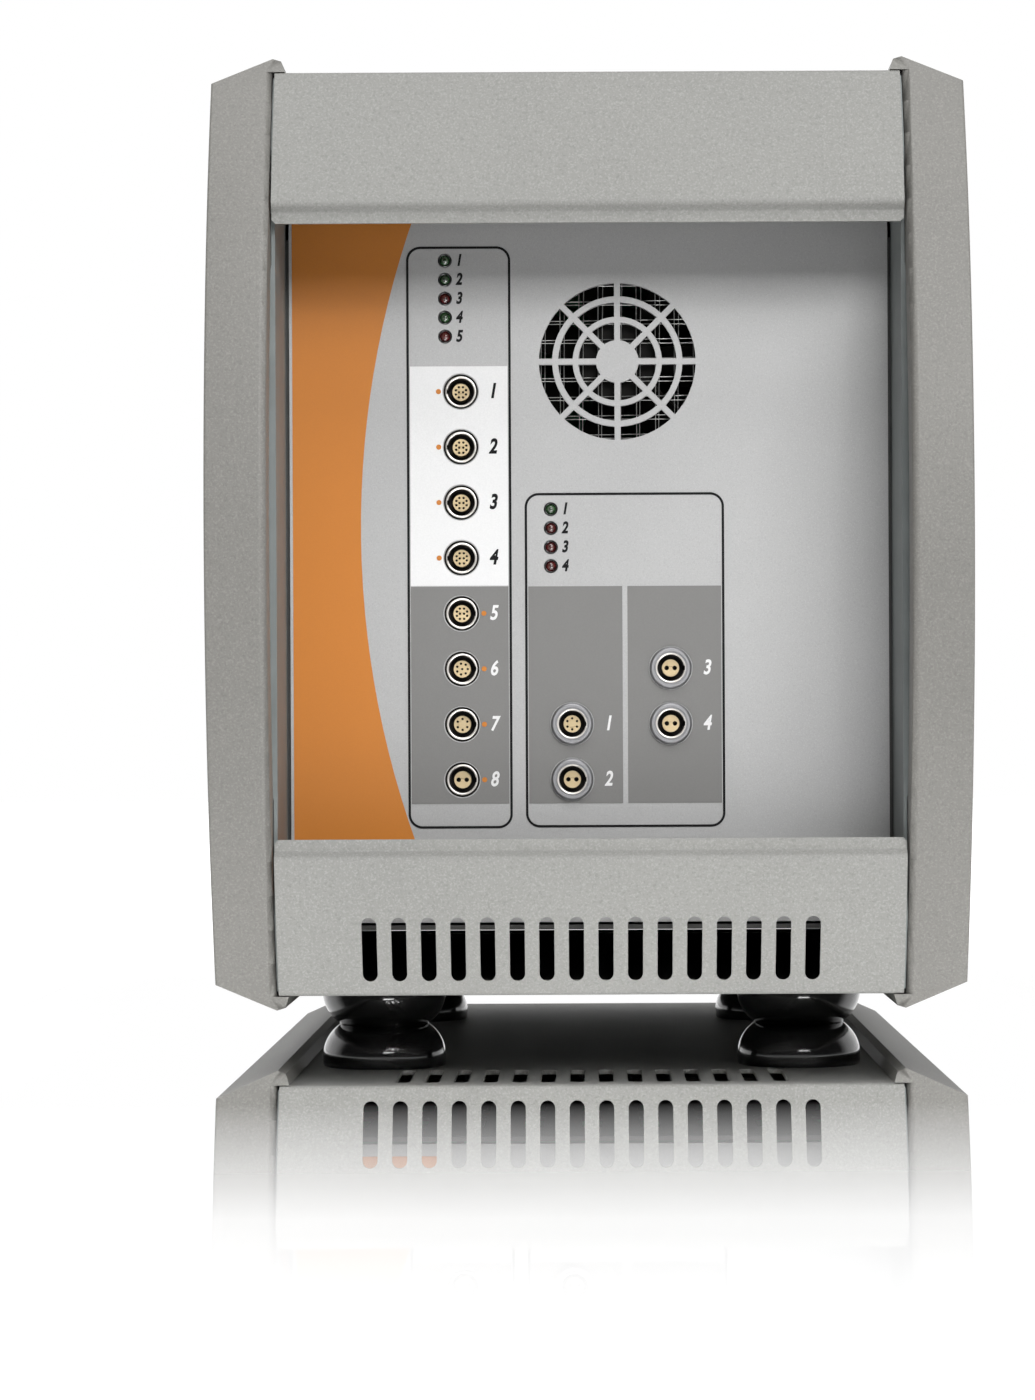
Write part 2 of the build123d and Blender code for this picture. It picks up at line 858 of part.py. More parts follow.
# Plate that carries the left-hand column of sockets, hemmed forward to the panel
column_middle = (rear_places[0][1] + rear_places[-1][1]) / 2
with BuildPart() as socket_plate:
    with BuildSketch(Plane.XZ.offset(-plate_front_y)):
        with Locations((pstat_x, column_middle)):
            Rectangle(socket_plate_width, socket_plate_height)
        with Locations(*rear_places):
            Circle(face_barrel_radius + face_hole_gap, mode=Mode.SUBTRACT)
    extrude(amount=-socket_plate_sheet)
    with BuildSketch(Plane.XZ.offset(-panel_back_y)):
        for side in (-1, 1):
            with Locations((pstat_x + side * socket_plate_width / 2, column_middle)):
                Rectangle(socket_plate_hem, socket_plate_height, align=(Align.CENTER, Align.CENTER))
    extrude(amount=-2 * socket_plate_sheet)
save(socket_plate.part, "socket_plate")


# Printed fields and lines, each a thin skin on the panel's face
def frame_box(frame, line):
    """Rounded box given as left, right, bottom and top, grown by a share of its line."""
    left, right, bottom, top = frame
    with BuildSketch() as box:
        with Locations(((left + right) / 2, (bottom + top) / 2)):
            RectangleRounded(right - left + line, top - bottom + line, frame_corner + line / 2)
    return box.sketch


def field(left, right, bottom, top):
    """Plain rectangle between two X and two rises."""
    with BuildSketch() as box:
        with Locations(((left + right) / 2, (bottom + top) / 2)):
            Rectangle(right - left, top - bottom)
    return box.sketch


def panel_cutouts(grow):
    """Everything that opens through the panel's face, a little larger than the hole."""
    with BuildSketch() as holes:
        with Locations(*[(x, z - mid_z) for x, z in rear_places]):
            Circle(rear_barrel_radius + rear_hole_gap + grow)
        with Locations(*[(x, z - mid_z) for x, z in face_places]):
            Circle(flange_radius + grow)
        with Locations(*[(x, z - mid_z) for x, z in lamp_places]):
            Circle(lamp_radius + lamp_gap + grow)
    return holes.sketch


panel_face = facing_front(0, panel_y, 0)
inner_edge = frame_line / 2 + field_gap

with BuildPart() as orange_print:
    with BuildSketch(panel_face):
        field_end = panel_half_height - orange_end_gap
        add(field(orange_side_gap - panel_half_width, 0, -field_end, field_end))
        with Locations((arc_left + arc_radius, arc_rise)):
            Circle(arc_radius, mode=Mode.SUBTRACT)
    extrude(amount=print_thickness)
    with BuildSketch(facing_front(0, panel_y - print_thickness, 0)):
        dots = [
            (x + side * dot_offset, socket_rise(row))
            for _, x, row, _, side, kind in sockets
            if kind == "rear"
        ]
        with Locations(*dots):
            Circle(dot_radius)
    extrude(amount=print_thickness)
save(orange_print.part, "orange_print")

with BuildPart() as white_field:
    with BuildSketch(panel_face):
        add(
            field(
                pstat_frame[0] + inner_edge,
                pstat_frame[1] - inner_edge,
                white_field_rise[0],
                white_field_rise[1],
            )
        )
        add(panel_cutouts(field_gap), mode=Mode.SUBTRACT)
    extrude(amount=print_thickness)
save(white_field.part, "white_field")

with BuildPart() as grey_fields:
    with BuildSketch(panel_face):
        for left, right in (
            (pstat_frame[0] + inner_edge, pstat_frame[1] - inner_edge),
            (booster_frame[0] + inner_edge, booster_divider[0]),
            (booster_divider[1], booster_frame[1] - inner_edge),
        ):
            add(field(left, right, grey_field_rise[0], grey_field_rise[1]))
        add(panel_cutouts(field_gap), mode=Mode.SUBTRACT)
    extrude(amount=print_thickness)
save(grey_fields.part, "grey_fields")

with BuildPart() as frame_lines:
    with BuildSketch(panel_face):
        for frame in (pstat_frame, booster_frame):
            add(frame_box(frame, frame_line))
        for frame in (pstat_frame, booster_frame):
            add(frame_box(frame, -frame_line), mode=Mode.SUBTRACT)
    extrude(amount=print_thickness)
save(frame_lines.part, "frame_lines")

# Welded wire mesh between the panel and the fan
with BuildPart() as wire_mesh:
    with BuildSketch(facing_front(vent_x, panel_back_y, vent_rise)):
        RectangleRounded(mesh_side, mesh_side, mesh_corner)
        mesh_cells = int(mesh_side // mesh_pitch)
        with GridLocations(mesh_pitch, mesh_pitch, mesh_cells, mesh_cells):
            Rectangle(mesh_pitch - mesh_wire, mesh_pitch - mesh_wire, mode=Mode.SUBTRACT)
    extrude(amount=-2 * mesh_wire)
save(wire_mesh.part, "wire_mesh")


# Fans, about their own Z, with the outer face at 0 and the depth towards -Z
def fan_frame(side, depth, hub):
    """Square frame with two flanges, a round duct, struts and the bearing boss."""
    duct = side / 2 - fan_duct_gap
    screw = side / 2 - fan_screw_inset
    with BuildPart() as frame:
        for level in (0, fan_flange - depth):
            with BuildSketch(Plane.XY.offset(level)):
                RectangleRounded(side, side, fan_corner)
                with GridLocations(2 * screw, 2 * screw, 2, 2):
                    Circle(fan_screw_radius, mode=Mode.SUBTRACT)
            extrude(amount=-fan_flange)
        with BuildSketch():
            Circle(duct + fan_wall)
            Rectangle(side, side, mode=Mode.INTERSECT)
        extrude(amount=-depth)
        with BuildSketch():
            Circle(duct)
        extrude(amount=-depth, mode=Mode.SUBTRACT)
        with BuildSketch(Plane.XY.offset(-depth)):
            Circle(hub)
            with PolarLocations(0, 2, angular_range=180):
                Rectangle(2 * duct + fan_wall, fan_strut_width)
        extrude(amount=fan_base)
        with BuildSketch(Plane.XY.offset(-depth)):
            Circle(fan_boss_radius)
        extrude(amount=depth / 2)
        with BuildSketch(Plane.XY.offset(fan_base - depth)):
            Circle(fan_shaft_radius + fan_bearing_gap)
        extrude(amount=depth / 2, mode=Mode.SUBTRACT)
    return frame.part


def fan_blade(root, tip, height):
    """Twisted blade along X, steep at its root and flatter at its tip."""
    with BuildPart() as blade:
        for radius, pitch, chord in (
            (root, blade_root_pitch, blade_root_chord),
            (tip, blade_tip_pitch, blade_tip_chord),
        ):
            with BuildSketch(Plane(origin=(radius, 0, 0), x_dir=(0, 1, 0), z_dir=(1, 0, 0))):
                Rectangle(height * chord, blade_sheet, rotation=pitch)
        loft()
    return blade.part


def fan_rotor(side, depth, hub):
    """Cup with its shaft, and the blades round it."""
    duct = side / 2 - fan_duct_gap
    cup_depth = depth - fan_base - 2 * fan_front_gap
    middle = -fan_front_gap - cup_depth / 2
    blade_height = cup_depth * blade_height_share
    with BuildPart() as rotor:
        with BuildSketch(Plane.XY.offset(-fan_front_gap)):
            Circle(hub)
        extrude(amount=-cup_depth)
        with Locations((0, 0, middle)):
            with PolarLocations(0, blade_count):
                add(fan_blade(hub - fan_cup_wall / 2, duct, blade_height))
        with BuildSketch():
            Circle(duct - fan_tip_gap)
        extrude(amount=-depth, mode=Mode.INTERSECT)
        fillet(rotor.faces().sort_by(Axis.Z)[-1].edges(), fan_cup_wall / 2)
        with BuildSketch(Plane.XY.offset(-fan_front_gap - fan_cup_wall)):
            Circle(hub - fan_cup_wall)
        extrude(amount=-cup_depth, mode=Mode.SUBTRACT)
        with BuildSketch(Plane.XY.offset(-fan_front_gap - fan_cup_wall)):
            Circle(fan_shaft_radius)
        extrude(amount=fan_base + fan_shaft_end_gap + fan_front_gap + fan_cup_wall - depth)
    return rotor.part


front_fan_plane = facing_front(vent_x, panel_back_y + 2 * mesh_wire, vent_rise)
rear_fan_plane = facing_back(rear_fan_x, rear_inner_y, rear_fan_rise)
for name, plane, side, depth, hub in (
    ("front_fan", front_fan_plane, front_fan_side, front_fan_depth, front_fan_hub),
    ("rear_fan", rear_fan_plane, rear_fan_side, rear_fan_depth, rear_fan_hub),
):
    with BuildPart() as placed_frame:
        with Locations(plane):
            add(fan_frame(side, depth, hub))
    save(placed_frame.part, f"{name}_frame")
    with BuildPart() as placed_rotor:
        with Locations(plane):
            add(fan_rotor(side, depth, hub))
    save(placed_rotor.part, f"{name}_rotor")

# Rear panel with folded sides
rear_half_width = wall_x - rear_fit
rear_half_height = wall_half_height - wall_sheet - rear_fit
rear_screw_reach = rear_fan_side / 2 - fan_screw_inset

with BuildPart() as rear_panel:
    with BuildSketch(facing_back(0, rear_inner_y, 0)):
        Rectangle(2 * rear_half_width, 2 * rear_half_height)
        with Locations((-rear_fan_x, rear_fan_rise)):
            Circle(rear_fan_hole, mode=Mode.SUBTRACT)
            with GridLocations(2 * rear_screw_reach, 2 * rear_screw_reach, 2, 2):
                Circle(fan_screw_radius, mode=Mode.SUBTRACT)
        with Locations((-inlet_x, inlet_rise)):
            Rectangle(
                inlet_body_width + 2 * inlet_fit,
                inlet_body_height + 2 * inlet_fit,
                mode=Mode.SUBTRACT,
            )
        with Locations((-jack_x, jack_rise)):
            Rectangle(jack_width + 2 * jack_fit, jack_height + 2 * jack_fit, mode=Mode.SUBTRACT)
        with Locations((-stud_x, stud_rise)):
            Circle(stud_radius + stud_hole_gap, mode=Mode.SUBTRACT)
    extrude(amount=rear_sheet)
    with BuildSketch(facing_back(0, rear_inner_y, 0)):
        for side in (-1, 1):
            with Locations((side * (rear_half_width - rear_sheet / 2), 0)):
                Rectangle(rear_sheet, 2 * rear_half_height)
    extrude(amount=-rear_flange)
save(rear_panel.part, "rear_panel")

# Wire finger guard with an eye at each fan screw
guard_plane = facing_back(rear_fan_x, rear_y + guard_standoff, rear_fan_rise)
with BuildPart() as fan_guard:
    with Locations(guard_plane):
        for ring in range(guard_rings):
            Torus(guard_first_ring * (ring + 1), guard_wire)
    eye_reach = rear_screw_reach * sqrt(2)
    for turn in guard_spoke_turns:
        with BuildSketch(guard_plane):
            Rectangle(2 * eye_reach, 2 * guard_wire, rotation=turn)
        extrude(amount=guard_wire, both=True)
    with BuildSketch(facing_back(rear_fan_x, rear_y, rear_fan_rise)):
        with GridLocations(2 * rear_screw_reach, 2 * rear_screw_reach, 2, 2):
            Circle(guard_eye_radius)
    extrude(amount=guard_standoff + guard_wire)
    with BuildSketch(facing_back(rear_fan_x, rear_y, rear_fan_rise)):
        with GridLocations(2 * rear_screw_reach, 2 * rear_screw_reach, 2, 2):
            Circle(fan_screw_radius)
    extrude(amount=guard_standoff + guard_wire, mode=Mode.SUBTRACT)
save(fan_guard.part, "fan_guard")

# Mains inlet module: 0 is the panel's outer face
inlet_plane = facing_back(inlet_x, rear_y, inlet_rise)


def inlet_well():
    """Outline of the plug's well, with the two upper corners cut off."""
    with BuildSketch() as well:
        with Locations((0, well_offset)):
            Rectangle(well_width, well_height)
        chamfer(well.vertices().group_by(Axis.Y)[-1], well_corner)
    return well.sketch


with BuildPart() as mains_inlet:
    with BuildSketch(inlet_plane):
        RectangleRounded(inlet_plate_width, inlet_plate_height, fan_corner)
    extrude(amount=inlet_plate)
    rim = mains_inlet.faces().sort_by(Axis.Y)[-1].edges()
    chamfer(rim, inlet_plate_chamfer)
    with BuildSketch(inlet_plane):
        Rectangle(inlet_body_width, inlet_body_height)
    extrude(amount=-inlet_body_depth)
    mouth_plane = facing_back(inlet_x, rear_y + inlet_plate, inlet_rise)
    with BuildSketch(mouth_plane):
        add(inlet_well())
    extrude(amount=-well_depth, mode=Mode.SUBTRACT)
    with BuildSketch(mouth_plane):
        with Locations((0, drawer_offset)):
            Rectangle(drawer_width + 2 * drawer_fit, drawer_height + 2 * drawer_fit)
    extrude(amount=-drawer_depth - drawer_fit, mode=Mode.SUBTRACT)
    with BuildSketch(mouth_plane):
        with Locations((0, rocker_offset)):
            Rectangle(rocker_width + 2 * rocker_side_gap, rocker_height + 2 * rocker_gap)
    extrude(amount=-rocker_well_depth, mode=Mode.SUBTRACT)
    pivot_y = rear_y + inlet_plate - rocker_pivot_depth
    pivot_z = mid_z + inlet_rise + rocker_offset
    bearing_half = rocker_width / 2 + rocker_pin_length + rocker_side_gap
    with BuildSketch(Plane.YZ.offset(inlet_x)):
        with Locations((pivot_y, pivot_z)):
            Circle(rocker_pin_radius + rocker_pin_gap)
    extrude(amount=bearing_half, both=True, mode=Mode.SUBTRACT)
save(mains_inlet.part, "mains_inlet")

well_floor_y = rear_y + inlet_plate - well_depth
with BuildPart() as inlet_pins:
    with BuildSketch(facing_back(inlet_x, well_floor_y, inlet_rise + well_offset)):
        with Locations((-pin_spread, -pin_earth_rise), (pin_spread, -pin_earth_rise)):
            Rectangle(pin_thickness, pin_width)
        with Locations((0, pin_earth_rise)):
            Rectangle(pin_thickness, pin_width)
    extrude(amount=pin_length)
save(inlet_pins.part, "inlet_pins")

with BuildPart() as fuse_drawer:
    drawer_mouth = facing_back(inlet_x, rear_y + inlet_plate, inlet_rise + drawer_offset)
    with BuildSketch(drawer_mouth):
        Rectangle(drawer_width, drawer_height)
    extrude(amount=-drawer_depth)
    lip_y = rear_y + inlet_plate + drawer_fit
    with BuildSketch(facing_back(inlet_x, lip_y, inlet_rise + drawer_offset)):
        RectangleRounded(
            drawer_width + 2 * drawer_lip_lap,
            drawer_height + 2 * drawer_lip_lap,
            drawer_lip_lap,
        )
    extrude(amount=drawer_lip)
    with BuildSketch(drawer_mouth):
        Rectangle(drawer_width, drawer_height)
    extrude(amount=drawer_fit)
    finger_rise = inlet_rise + drawer_offset - drawer_height / 2
    with BuildSketch(facing_back(inlet_x, lip_y + drawer_lip, finger_rise)):
        Rectangle(drawer_finger_width, drawer_finger_height, align=(Align.CENTER, Align.MIN))
    extrude(amount=-drawer_finger_depth, mode=Mode.SUBTRACT)
save(fuse_drawer.part, "fuse_drawer")

# Rocker, drawn level and stored tilted to its off side
pivot_plane = Plane(
    origin=(inlet_x, pivot_y, pivot_z), x_dir=(-1, 0, 0), z_dir=(0, 1, 0)
).rotated((rocker_tilt, 0, 0))
with BuildPart() as level_rocker:
    with BuildSketch(Plane.YZ.offset(-rocker_width / 2)):
        with BuildLine():
            half = rocker_height / 2
            Polyline(
                (-half, 0),
                (-half, rocker_pivot_depth + rocker_shoulder),
                (0, rocker_pivot_depth + rocker_crown),
                (half, rocker_pivot_depth + rocker_shoulder),
                (half, 0),
            )
            ThreePointArc((half, 0), (0, -half), (-half, 0))
        make_face()
    extrude(amount=rocker_width)
    with BuildSketch(Plane.YZ):
        Circle(rocker_pin_radius)
    extrude(amount=rocker_width / 2 + rocker_pin_length, both=True)
with BuildPart() as power_rocker:
    with Locations(pivot_plane):
        add(level_rocker.part)
save(power_rocker.part, "power_rocker")

# Network jack
with BuildPart() as network_jack:
    with BuildSketch(facing_back(jack_x, rear_y, jack_rise)):
        Rectangle(jack_width + 2 * jack_flange, jack_height + 2 * jack_flange)
    extrude(amount=jack_flange_sheet)
    with BuildSketch(facing_back(jack_x, rear_y, jack_rise)):
        Rectangle(jack_width, jack_height)
    extrude(amount=-jack_depth)
    with BuildSketch(facing_back(jack_x, rear_y + jack_flange_sheet, jack_rise + jack_hole_rise)):
        Rectangle(jack_hole_width, jack_hole_height)
        with Locations((0, -jack_hole_height / 2)):
            Rectangle(jack_latch_width, jack_latch_height, align=(Align.CENTER, Align.MAX))
    extrude(amount=-jack_hole_depth, mode=Mode.SUBTRACT)
save(network_jack.part, "network_jack")

# Earth stud and its nut
with BuildPart() as earth_stud:
    with BuildSketch(facing_back(stud_x, rear_y + stud_out, stud_rise)):
        Circle(stud_radius)
    extrude(amount=-stud_out - stud_in)
    with BuildSketch(facing_back(stud_x, rear_inner_y, stud_rise)):
        RegularPolygon(stud_nut_flats / 2, 6, major_radius=False)
    extrude(amount=-stud_nut_thickness)
save(earth_stud.part, "earth_stud")

with BuildPart() as earth_nut:
    with BuildSketch(facing_back(stud_x, rear_y, stud_rise)):
        RegularPolygon(stud_nut_flats / 2, 6, major_radius=False)
        Circle(stud_radius + nut_thread_gap, mode=Mode.SUBTRACT)
    extrude(amount=stud_nut_thickness)
save(earth_nut.part, "earth_nut")

# Card cage: guides on both shelves, two boards, their heat sink and the backplane
guide_front_y = panel_back_y + guide_start
with BuildPart() as lower_guides:
    with BuildSketch(Plane.XZ.offset(-guide_front_y)):
        with Locations((pstat_board_x, shelf_top_z), (booster_board_x, shelf_top_z)):
            Rectangle(guide_width, guide_height, align=(Align.CENTER, Align.MIN))
        slot_places = [(x, shelf_top_z + guide_floor) for x in (pstat_board_x, booster_board_x)]
        with Locations(*slot_places):
            Rectangle(
                board_sheet + 2 * board_gap,
                guide_height,
                align=(Align.CENTER, Align.MIN),
                mode=Mode.SUBTRACT,
            )
    extrude(amount=-guide_length)
with BuildPart() as card_guides:
    add(lower_guides.part)
    mirror(lower_guides.part, about=Plane.XY.offset(mid_z))
save(card_guides.part, "card_guides")

board_half_height = cage_half_height - guide_floor - board_gap
board_front_y = panel_back_y + board_front_gap
for name, x in (("pstat_board", pstat_board_x), ("booster_board", booster_board_x)):
    with BuildPart() as board:
        with BuildSketch(Plane.XZ.offset(-board_front_y)):
            with Locations((x, mid_z)):
                Rectangle(board_sheet, 2 * board_half_height)
        extrude(amount=board_front_y - backplane_y + connector_depth)
        with BuildSketch(Plane.XZ.offset(-backplane_y)):
            with Locations((x, mid_z)):
                Rectangle(connector_width, connector_height)
        extrude(amount=connector_depth)
    save(board.part, name)

with BuildPart() as backplane:
    with BuildSketch(Plane.XZ.offset(-backplane_y)):
        with Locations((0, mid_z)):
            Rectangle(2 * (wall_x - backplane_side_gap), 2 * cage_half_height)
    extrude(amount=-backplane_sheet)
save(backplane.part, "backplane")

with BuildPart() as heat_sink:
    sink_x = booster_board_x - board_sheet / 2
    sink_front_y = board_front_y + sink_front_gap
    sink_end_y = backplane_y - connector_depth - sink_back_gap
    sink_plane = Plane.XZ.offset(-sink_front_y)
    with BuildSketch(sink_plane):
        with Locations((sink_x, mid_z + sink_rise)):
            Rectangle(sink_base, sink_height, align=(Align.MAX, Align.CENTER))
        fin_pitch = (sink_height - sink_fin_sheet) / (sink_fin_count - 1)
        with Locations((sink_x - sink_base, mid_z + sink_rise)):
            with GridLocations(0, fin_pitch, 1, sink_fin_count):
                Rectangle(sink_fin_height, sink_fin_sheet, align=(Align.MAX, Align.CENTER))
    extrude(amount=sink_front_y - sink_end_y)
save(heat_sink.part, "heat_sink")

with BuildPart() as power_supply:
    supply_y = rear_inner_y - supply_back_gap - supply_length
    with BuildSketch(Plane.XZ.offset(-supply_y)):
        with Locations((supply_x, shelf_top_z)):
            Rectangle(supply_width, supply_height, align=(Align.CENTER, Align.MIN))
    extrude(amount=-supply_length)
    with BuildSketch(Plane.XY.offset(shelf_top_z + supply_height)):
        with Locations((supply_x, supply_y + supply_length / 2)):
            with GridLocations(0, supply_length / (supply_slot_count + 1), 1, supply_slot_count):
                SlotOverall(supply_slot_length, supply_slot_width)
    extrude(amount=-supply_slot_depth, mode=Mode.SUBTRACT)
save(power_supply.part, "power_supply")


# Feet
def foot_blank():
    """Bowl turned about Z, standing on 0, with the screw's recess from below."""
    with BuildPart() as foot:
        with BuildSketch(Plane.XZ):
            with BuildLine():
                Polyline(
                    (foot_screw_radius + foot_screw_gap, foot_recess_depth),
                    (foot_screw_radius + foot_screw_gap, foot_height),
                    (foot_radius - foot_rim / 2, foot_height),
                    (foot_radius, foot_height - foot_rim),
                )
                narrowing = (foot_radius - foot_contact_radius) * foot_bulge_share
                ThreePointArc(
                    (foot_radius, foot_height - foot_rim),
                    (foot_radius - narrowing, foot_height * foot_bulge_share),
                    (foot_contact_radius, 0),
                )
                Polyline(
                    (foot_contact_radius, 0),
                    (foot_recess_radius + foot_recess_chamfer, 0),
                    (foot_recess_radius, foot_recess_chamfer),
                    (foot_recess_radius, foot_recess_depth),
                    (foot_screw_radius + foot_screw_gap, foot_recess_depth),
                )
            make_face()
        revolve(axis=Axis.Z)
    return foot.part


foot_names = ("front_left_foot", "front_right_foot", "rear_left_foot", "rear_right_foot")
for name, place in zip(foot_names, foot_places):
    with BuildPart() as foot:
        with Locations((place[0], place[1], 0)):
            add(foot_blank())
    save(foot.part, name)

with BuildPart() as foot_screws:
    with BuildSketch(Plane.XY.offset(foot_recess_depth)):
        with Locations(*foot_places):
            Circle(foot_screw_head_radius)
    extrude(amount=-foot_screw_head)
    with BuildSketch(Plane.XY.offset(foot_recess_depth)):
        with Locations(*foot_places):
            Circle(foot_screw_radius)
    extrude(amount=foot_height + cover_sheet + foot_screw_reach - foot_recess_depth)
save(foot_screws.part, "foot_screws")

# Screws that hold the guard and the fan to the rear panel
with BuildPart() as fan_screws:
    screw_face = facing_back(rear_fan_x, rear_y + guard_standoff + guard_wire, rear_fan_rise)
    with BuildSketch(screw_face):
        with GridLocations(2 * rear_screw_reach, 2 * rear_screw_reach, 2, 2):
            Circle(foot_screw_head_radius)
    extrude(amount=foot_screw_head)
    with BuildSketch(screw_face):
        with GridLocations(2 * rear_screw_reach, 2 * rear_screw_reach, 2, 2):
            Circle(fan_screw_radius - foot_screw_gap)
    extrude(amount=-guard_standoff - guard_wire - rear_sheet - fan_flange)
save(fan_screws.part, "fan_screws")
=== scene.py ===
import math

import bmesh
import bpy
import numpy as np
from mathutils import Matrix, Vector


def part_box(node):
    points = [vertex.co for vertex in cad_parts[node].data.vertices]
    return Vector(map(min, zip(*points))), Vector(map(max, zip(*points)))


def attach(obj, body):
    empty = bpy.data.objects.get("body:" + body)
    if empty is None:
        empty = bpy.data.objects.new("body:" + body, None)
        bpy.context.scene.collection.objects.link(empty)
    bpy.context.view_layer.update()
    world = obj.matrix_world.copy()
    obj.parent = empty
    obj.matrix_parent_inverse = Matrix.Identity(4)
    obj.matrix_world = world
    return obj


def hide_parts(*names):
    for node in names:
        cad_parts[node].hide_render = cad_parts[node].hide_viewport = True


bl_info = {
    "name": "Benchtop potentiostat",
    "version": (1, 0, 0),
    "blender": (4, 5, 0),
    "location": "View3D > Sidebar > Potentiostat",
    "description": "Dresses the packed model of a benchtop potentiostat on a pale floor",
    "category": "Object",
}

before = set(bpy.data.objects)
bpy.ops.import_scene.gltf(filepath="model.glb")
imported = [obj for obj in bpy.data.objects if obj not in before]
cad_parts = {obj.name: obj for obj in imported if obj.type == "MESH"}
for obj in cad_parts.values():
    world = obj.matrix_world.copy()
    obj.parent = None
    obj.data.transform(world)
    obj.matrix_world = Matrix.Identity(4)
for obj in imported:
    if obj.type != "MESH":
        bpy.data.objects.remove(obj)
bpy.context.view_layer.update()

MILLIMETRE = 0.001
CASE = "case"
WHITE = (1.0, 1.0, 1.0)
ROUND_STEPS = 96
LEFT_SOCKETS = [f"pstat_socket_{index}" for index in range(1, 9)]
RIGHT_SOCKETS = [f"booster_socket_{index}" for index in range(1, 5)]
PALE_LEFT_SOCKETS = LEFT_SOCKETS[:4]

# Sockets of a colour Mix node
MIX_FACTOR, MIX_FIRST, MIX_SECOND, MIX_RESULT = 0, 6, 7, 2

# Colours of the fittings with a usual finish
REAR_SHEET = (0.58, 0.58, 0.56)
SCREW_ZINC = (0.55, 0.55, 0.53)
SCREW_PLATE = (0.58, 0.58, 0.56)
PLAIN_STEEL = (0.5, 0.5, 0.48)
MESH_STEEL = (0.42, 0.42, 0.41)
GUARD_STEEL = (0.66, 0.66, 0.65)
CONTACT_GOLD = (0.83, 0.62, 0.25)
SINK_BLACK = (0.05, 0.05, 0.05)
FAN_BLACK = (0.004, 0.0036, 0.003)
INLET_BLACK = (0.018, 0.018, 0.018)
SWITCH_BLACK = (0.012, 0.012, 0.012)
LAMP_BLACK = (0.012, 0.012, 0.012)
SEAL_BLACK = (0.03, 0.03, 0.03)
# Painted shade: near-black for the metal deep inside the socket bores and under their flanges, where
# shade falls
BORE_PAINTED_SHADE = (0.014, 0.009, 0.006)
# Painted shade: near-black for the walls of the contact holes in the inserts, where shade falls
CONTACT_PAINTED_SHADE = (0.012, 0.008, 0.005)
BOARD_GREEN = (0.02, 0.12, 0.055)
TRACK_GREEN = (0.035, 0.2, 0.09)

# Profiles of the turned pieces: radius and height of each corner in millimetres
SOCKET_BORE = ((2.9, -20.0), (2.9, -9.0), (4.2, -9.0), (4.2, -2.4), (4.42, -2.4), (4.42, -0.3))
SOCKET_BORE += ((4.46, -0.12), (4.62, -0.02), (4.75, 0.0))
WIDE_FLANGE = ((5.45, -0.2), (5.55, -0.1), (6.3, -0.1), (6.42, -0.16))
WIDE_FLANGE += ((6.92, -0.62), (7.0, -0.75), (7.0, -1.8))
SUNK_FLANGE = ((4.9, 0.0), (5.07, -0.05), (5.15, -0.2), (5.15, -2.4), (7.0, -2.4), (7.0, -4.3))
SOCKET_TAIL = ((5.95, -4.4), (5.95, -20.0), (2.9, -20.0))
LAMP_DOME = ((0.0, 0.7), (1.0, 0.36), (1.72, -0.45))
LAMP_RING = ((1.76, -0.2), (1.8, 0.1), (1.95, 0.16), (2.1, 0.05), (2.1, -6.4))
LAMP_RING += ((2.6, -6.5), (2.6, -7.5), (0.0, -7.5))
FOOT_TOP = ((2.15, 8.0), (2.15, 14.6), (20.4, 14.6), (20.9, 14.4), (21.2, 13.9), (21.3, 13.3))
FOOT_BOWL = ((21.3, 12.6), (19.4, 4.4), (15.5, 0.25))
FOOT_SOLE = ((15.2, 0.06), (14.8, 0.0), (5.2, 0.0), (4.8, 0.2), (4.6, 0.6), (4.6, 8.0), (2.15, 8.0))

# Keyway of a socket, and where its metal takes painted shade, in millimetres and radians
KEYWAY_WALL = (4.1, 4.7)
KEYWAY_LENGTH = 6.0
KEYWAY_HALF_ANGLE = 0.15
KEYWAY_RADIUS = 4.9
MOUTH_RADIUS = 4.6
MOUTH_LIT = 0.5
RING_RADIUS = 5.0
FLANGE_LIT = 2.2
HOLE_START = 0.04

# Lamps: rows of the green ones, and the radii of their rings
GREEN_LEFT_ROWS = (0, 1, 3)
GREEN_RIGHT_ROWS = (0,)
DOME_RADIUS = 1.74
CORE_RADII = (0.45, 1.0)

# Numbers: their letterform, their weights, and how far they stand from sockets and lamps
LETTER_SIZE = 1.35
LETTER_SLANT = 0.22
LETTER_SQUEEZE = 0.76
DARK_WEIGHT = 0.05
PALE_WEIGHT = 0.035
SMALL_WEIGHT = 0.055
LEFT_NUMBER_ASIDE = 10.6
RIGHT_NUMBER_ASIDE = 12.0
LAMP_NUMBER_ASIDE = 4.6

# Mesh, finger guard and jack, in millimetres
MESH_MARGIN = 1.0
BACK_LAYER_LEAN = 0.012
POST_RADII = (2.3, 3.3, 3.4)
POST_EDGE = 0.1
WIRE_RISE_LENGTH = 4.0
WIRES_APART = 1.7
JACK_CONTACTS = 8
CONTACT_PITCH = 1.02
CONTACT_WIRE = 0.2
CORD_SET_BACK = 4.0

# Floor zones in millimetres from the case's middle, with the mirror's share of each
MIRROR_NEAR, MIRROR_NEAR_SHARE = (-680.0, -420.0), 0.7
MIRROR_FAR, MIRROR_FAR_SHARE = (-930.0, -620.0), 0.3
MIRROR_BACK = (240.0, 340.0)
MIRROR_SIDE = (160.0, 270.0)
# Floor glow: the floor glows and lights the case from below; NEAR_GLOW in front of and under the case,
# rising to white across GLOW_ZONE behind it
GLOW_ZONE = (150.0, 700.0)
NEAR_GLOW = (0.62, 0.62, 0.62)

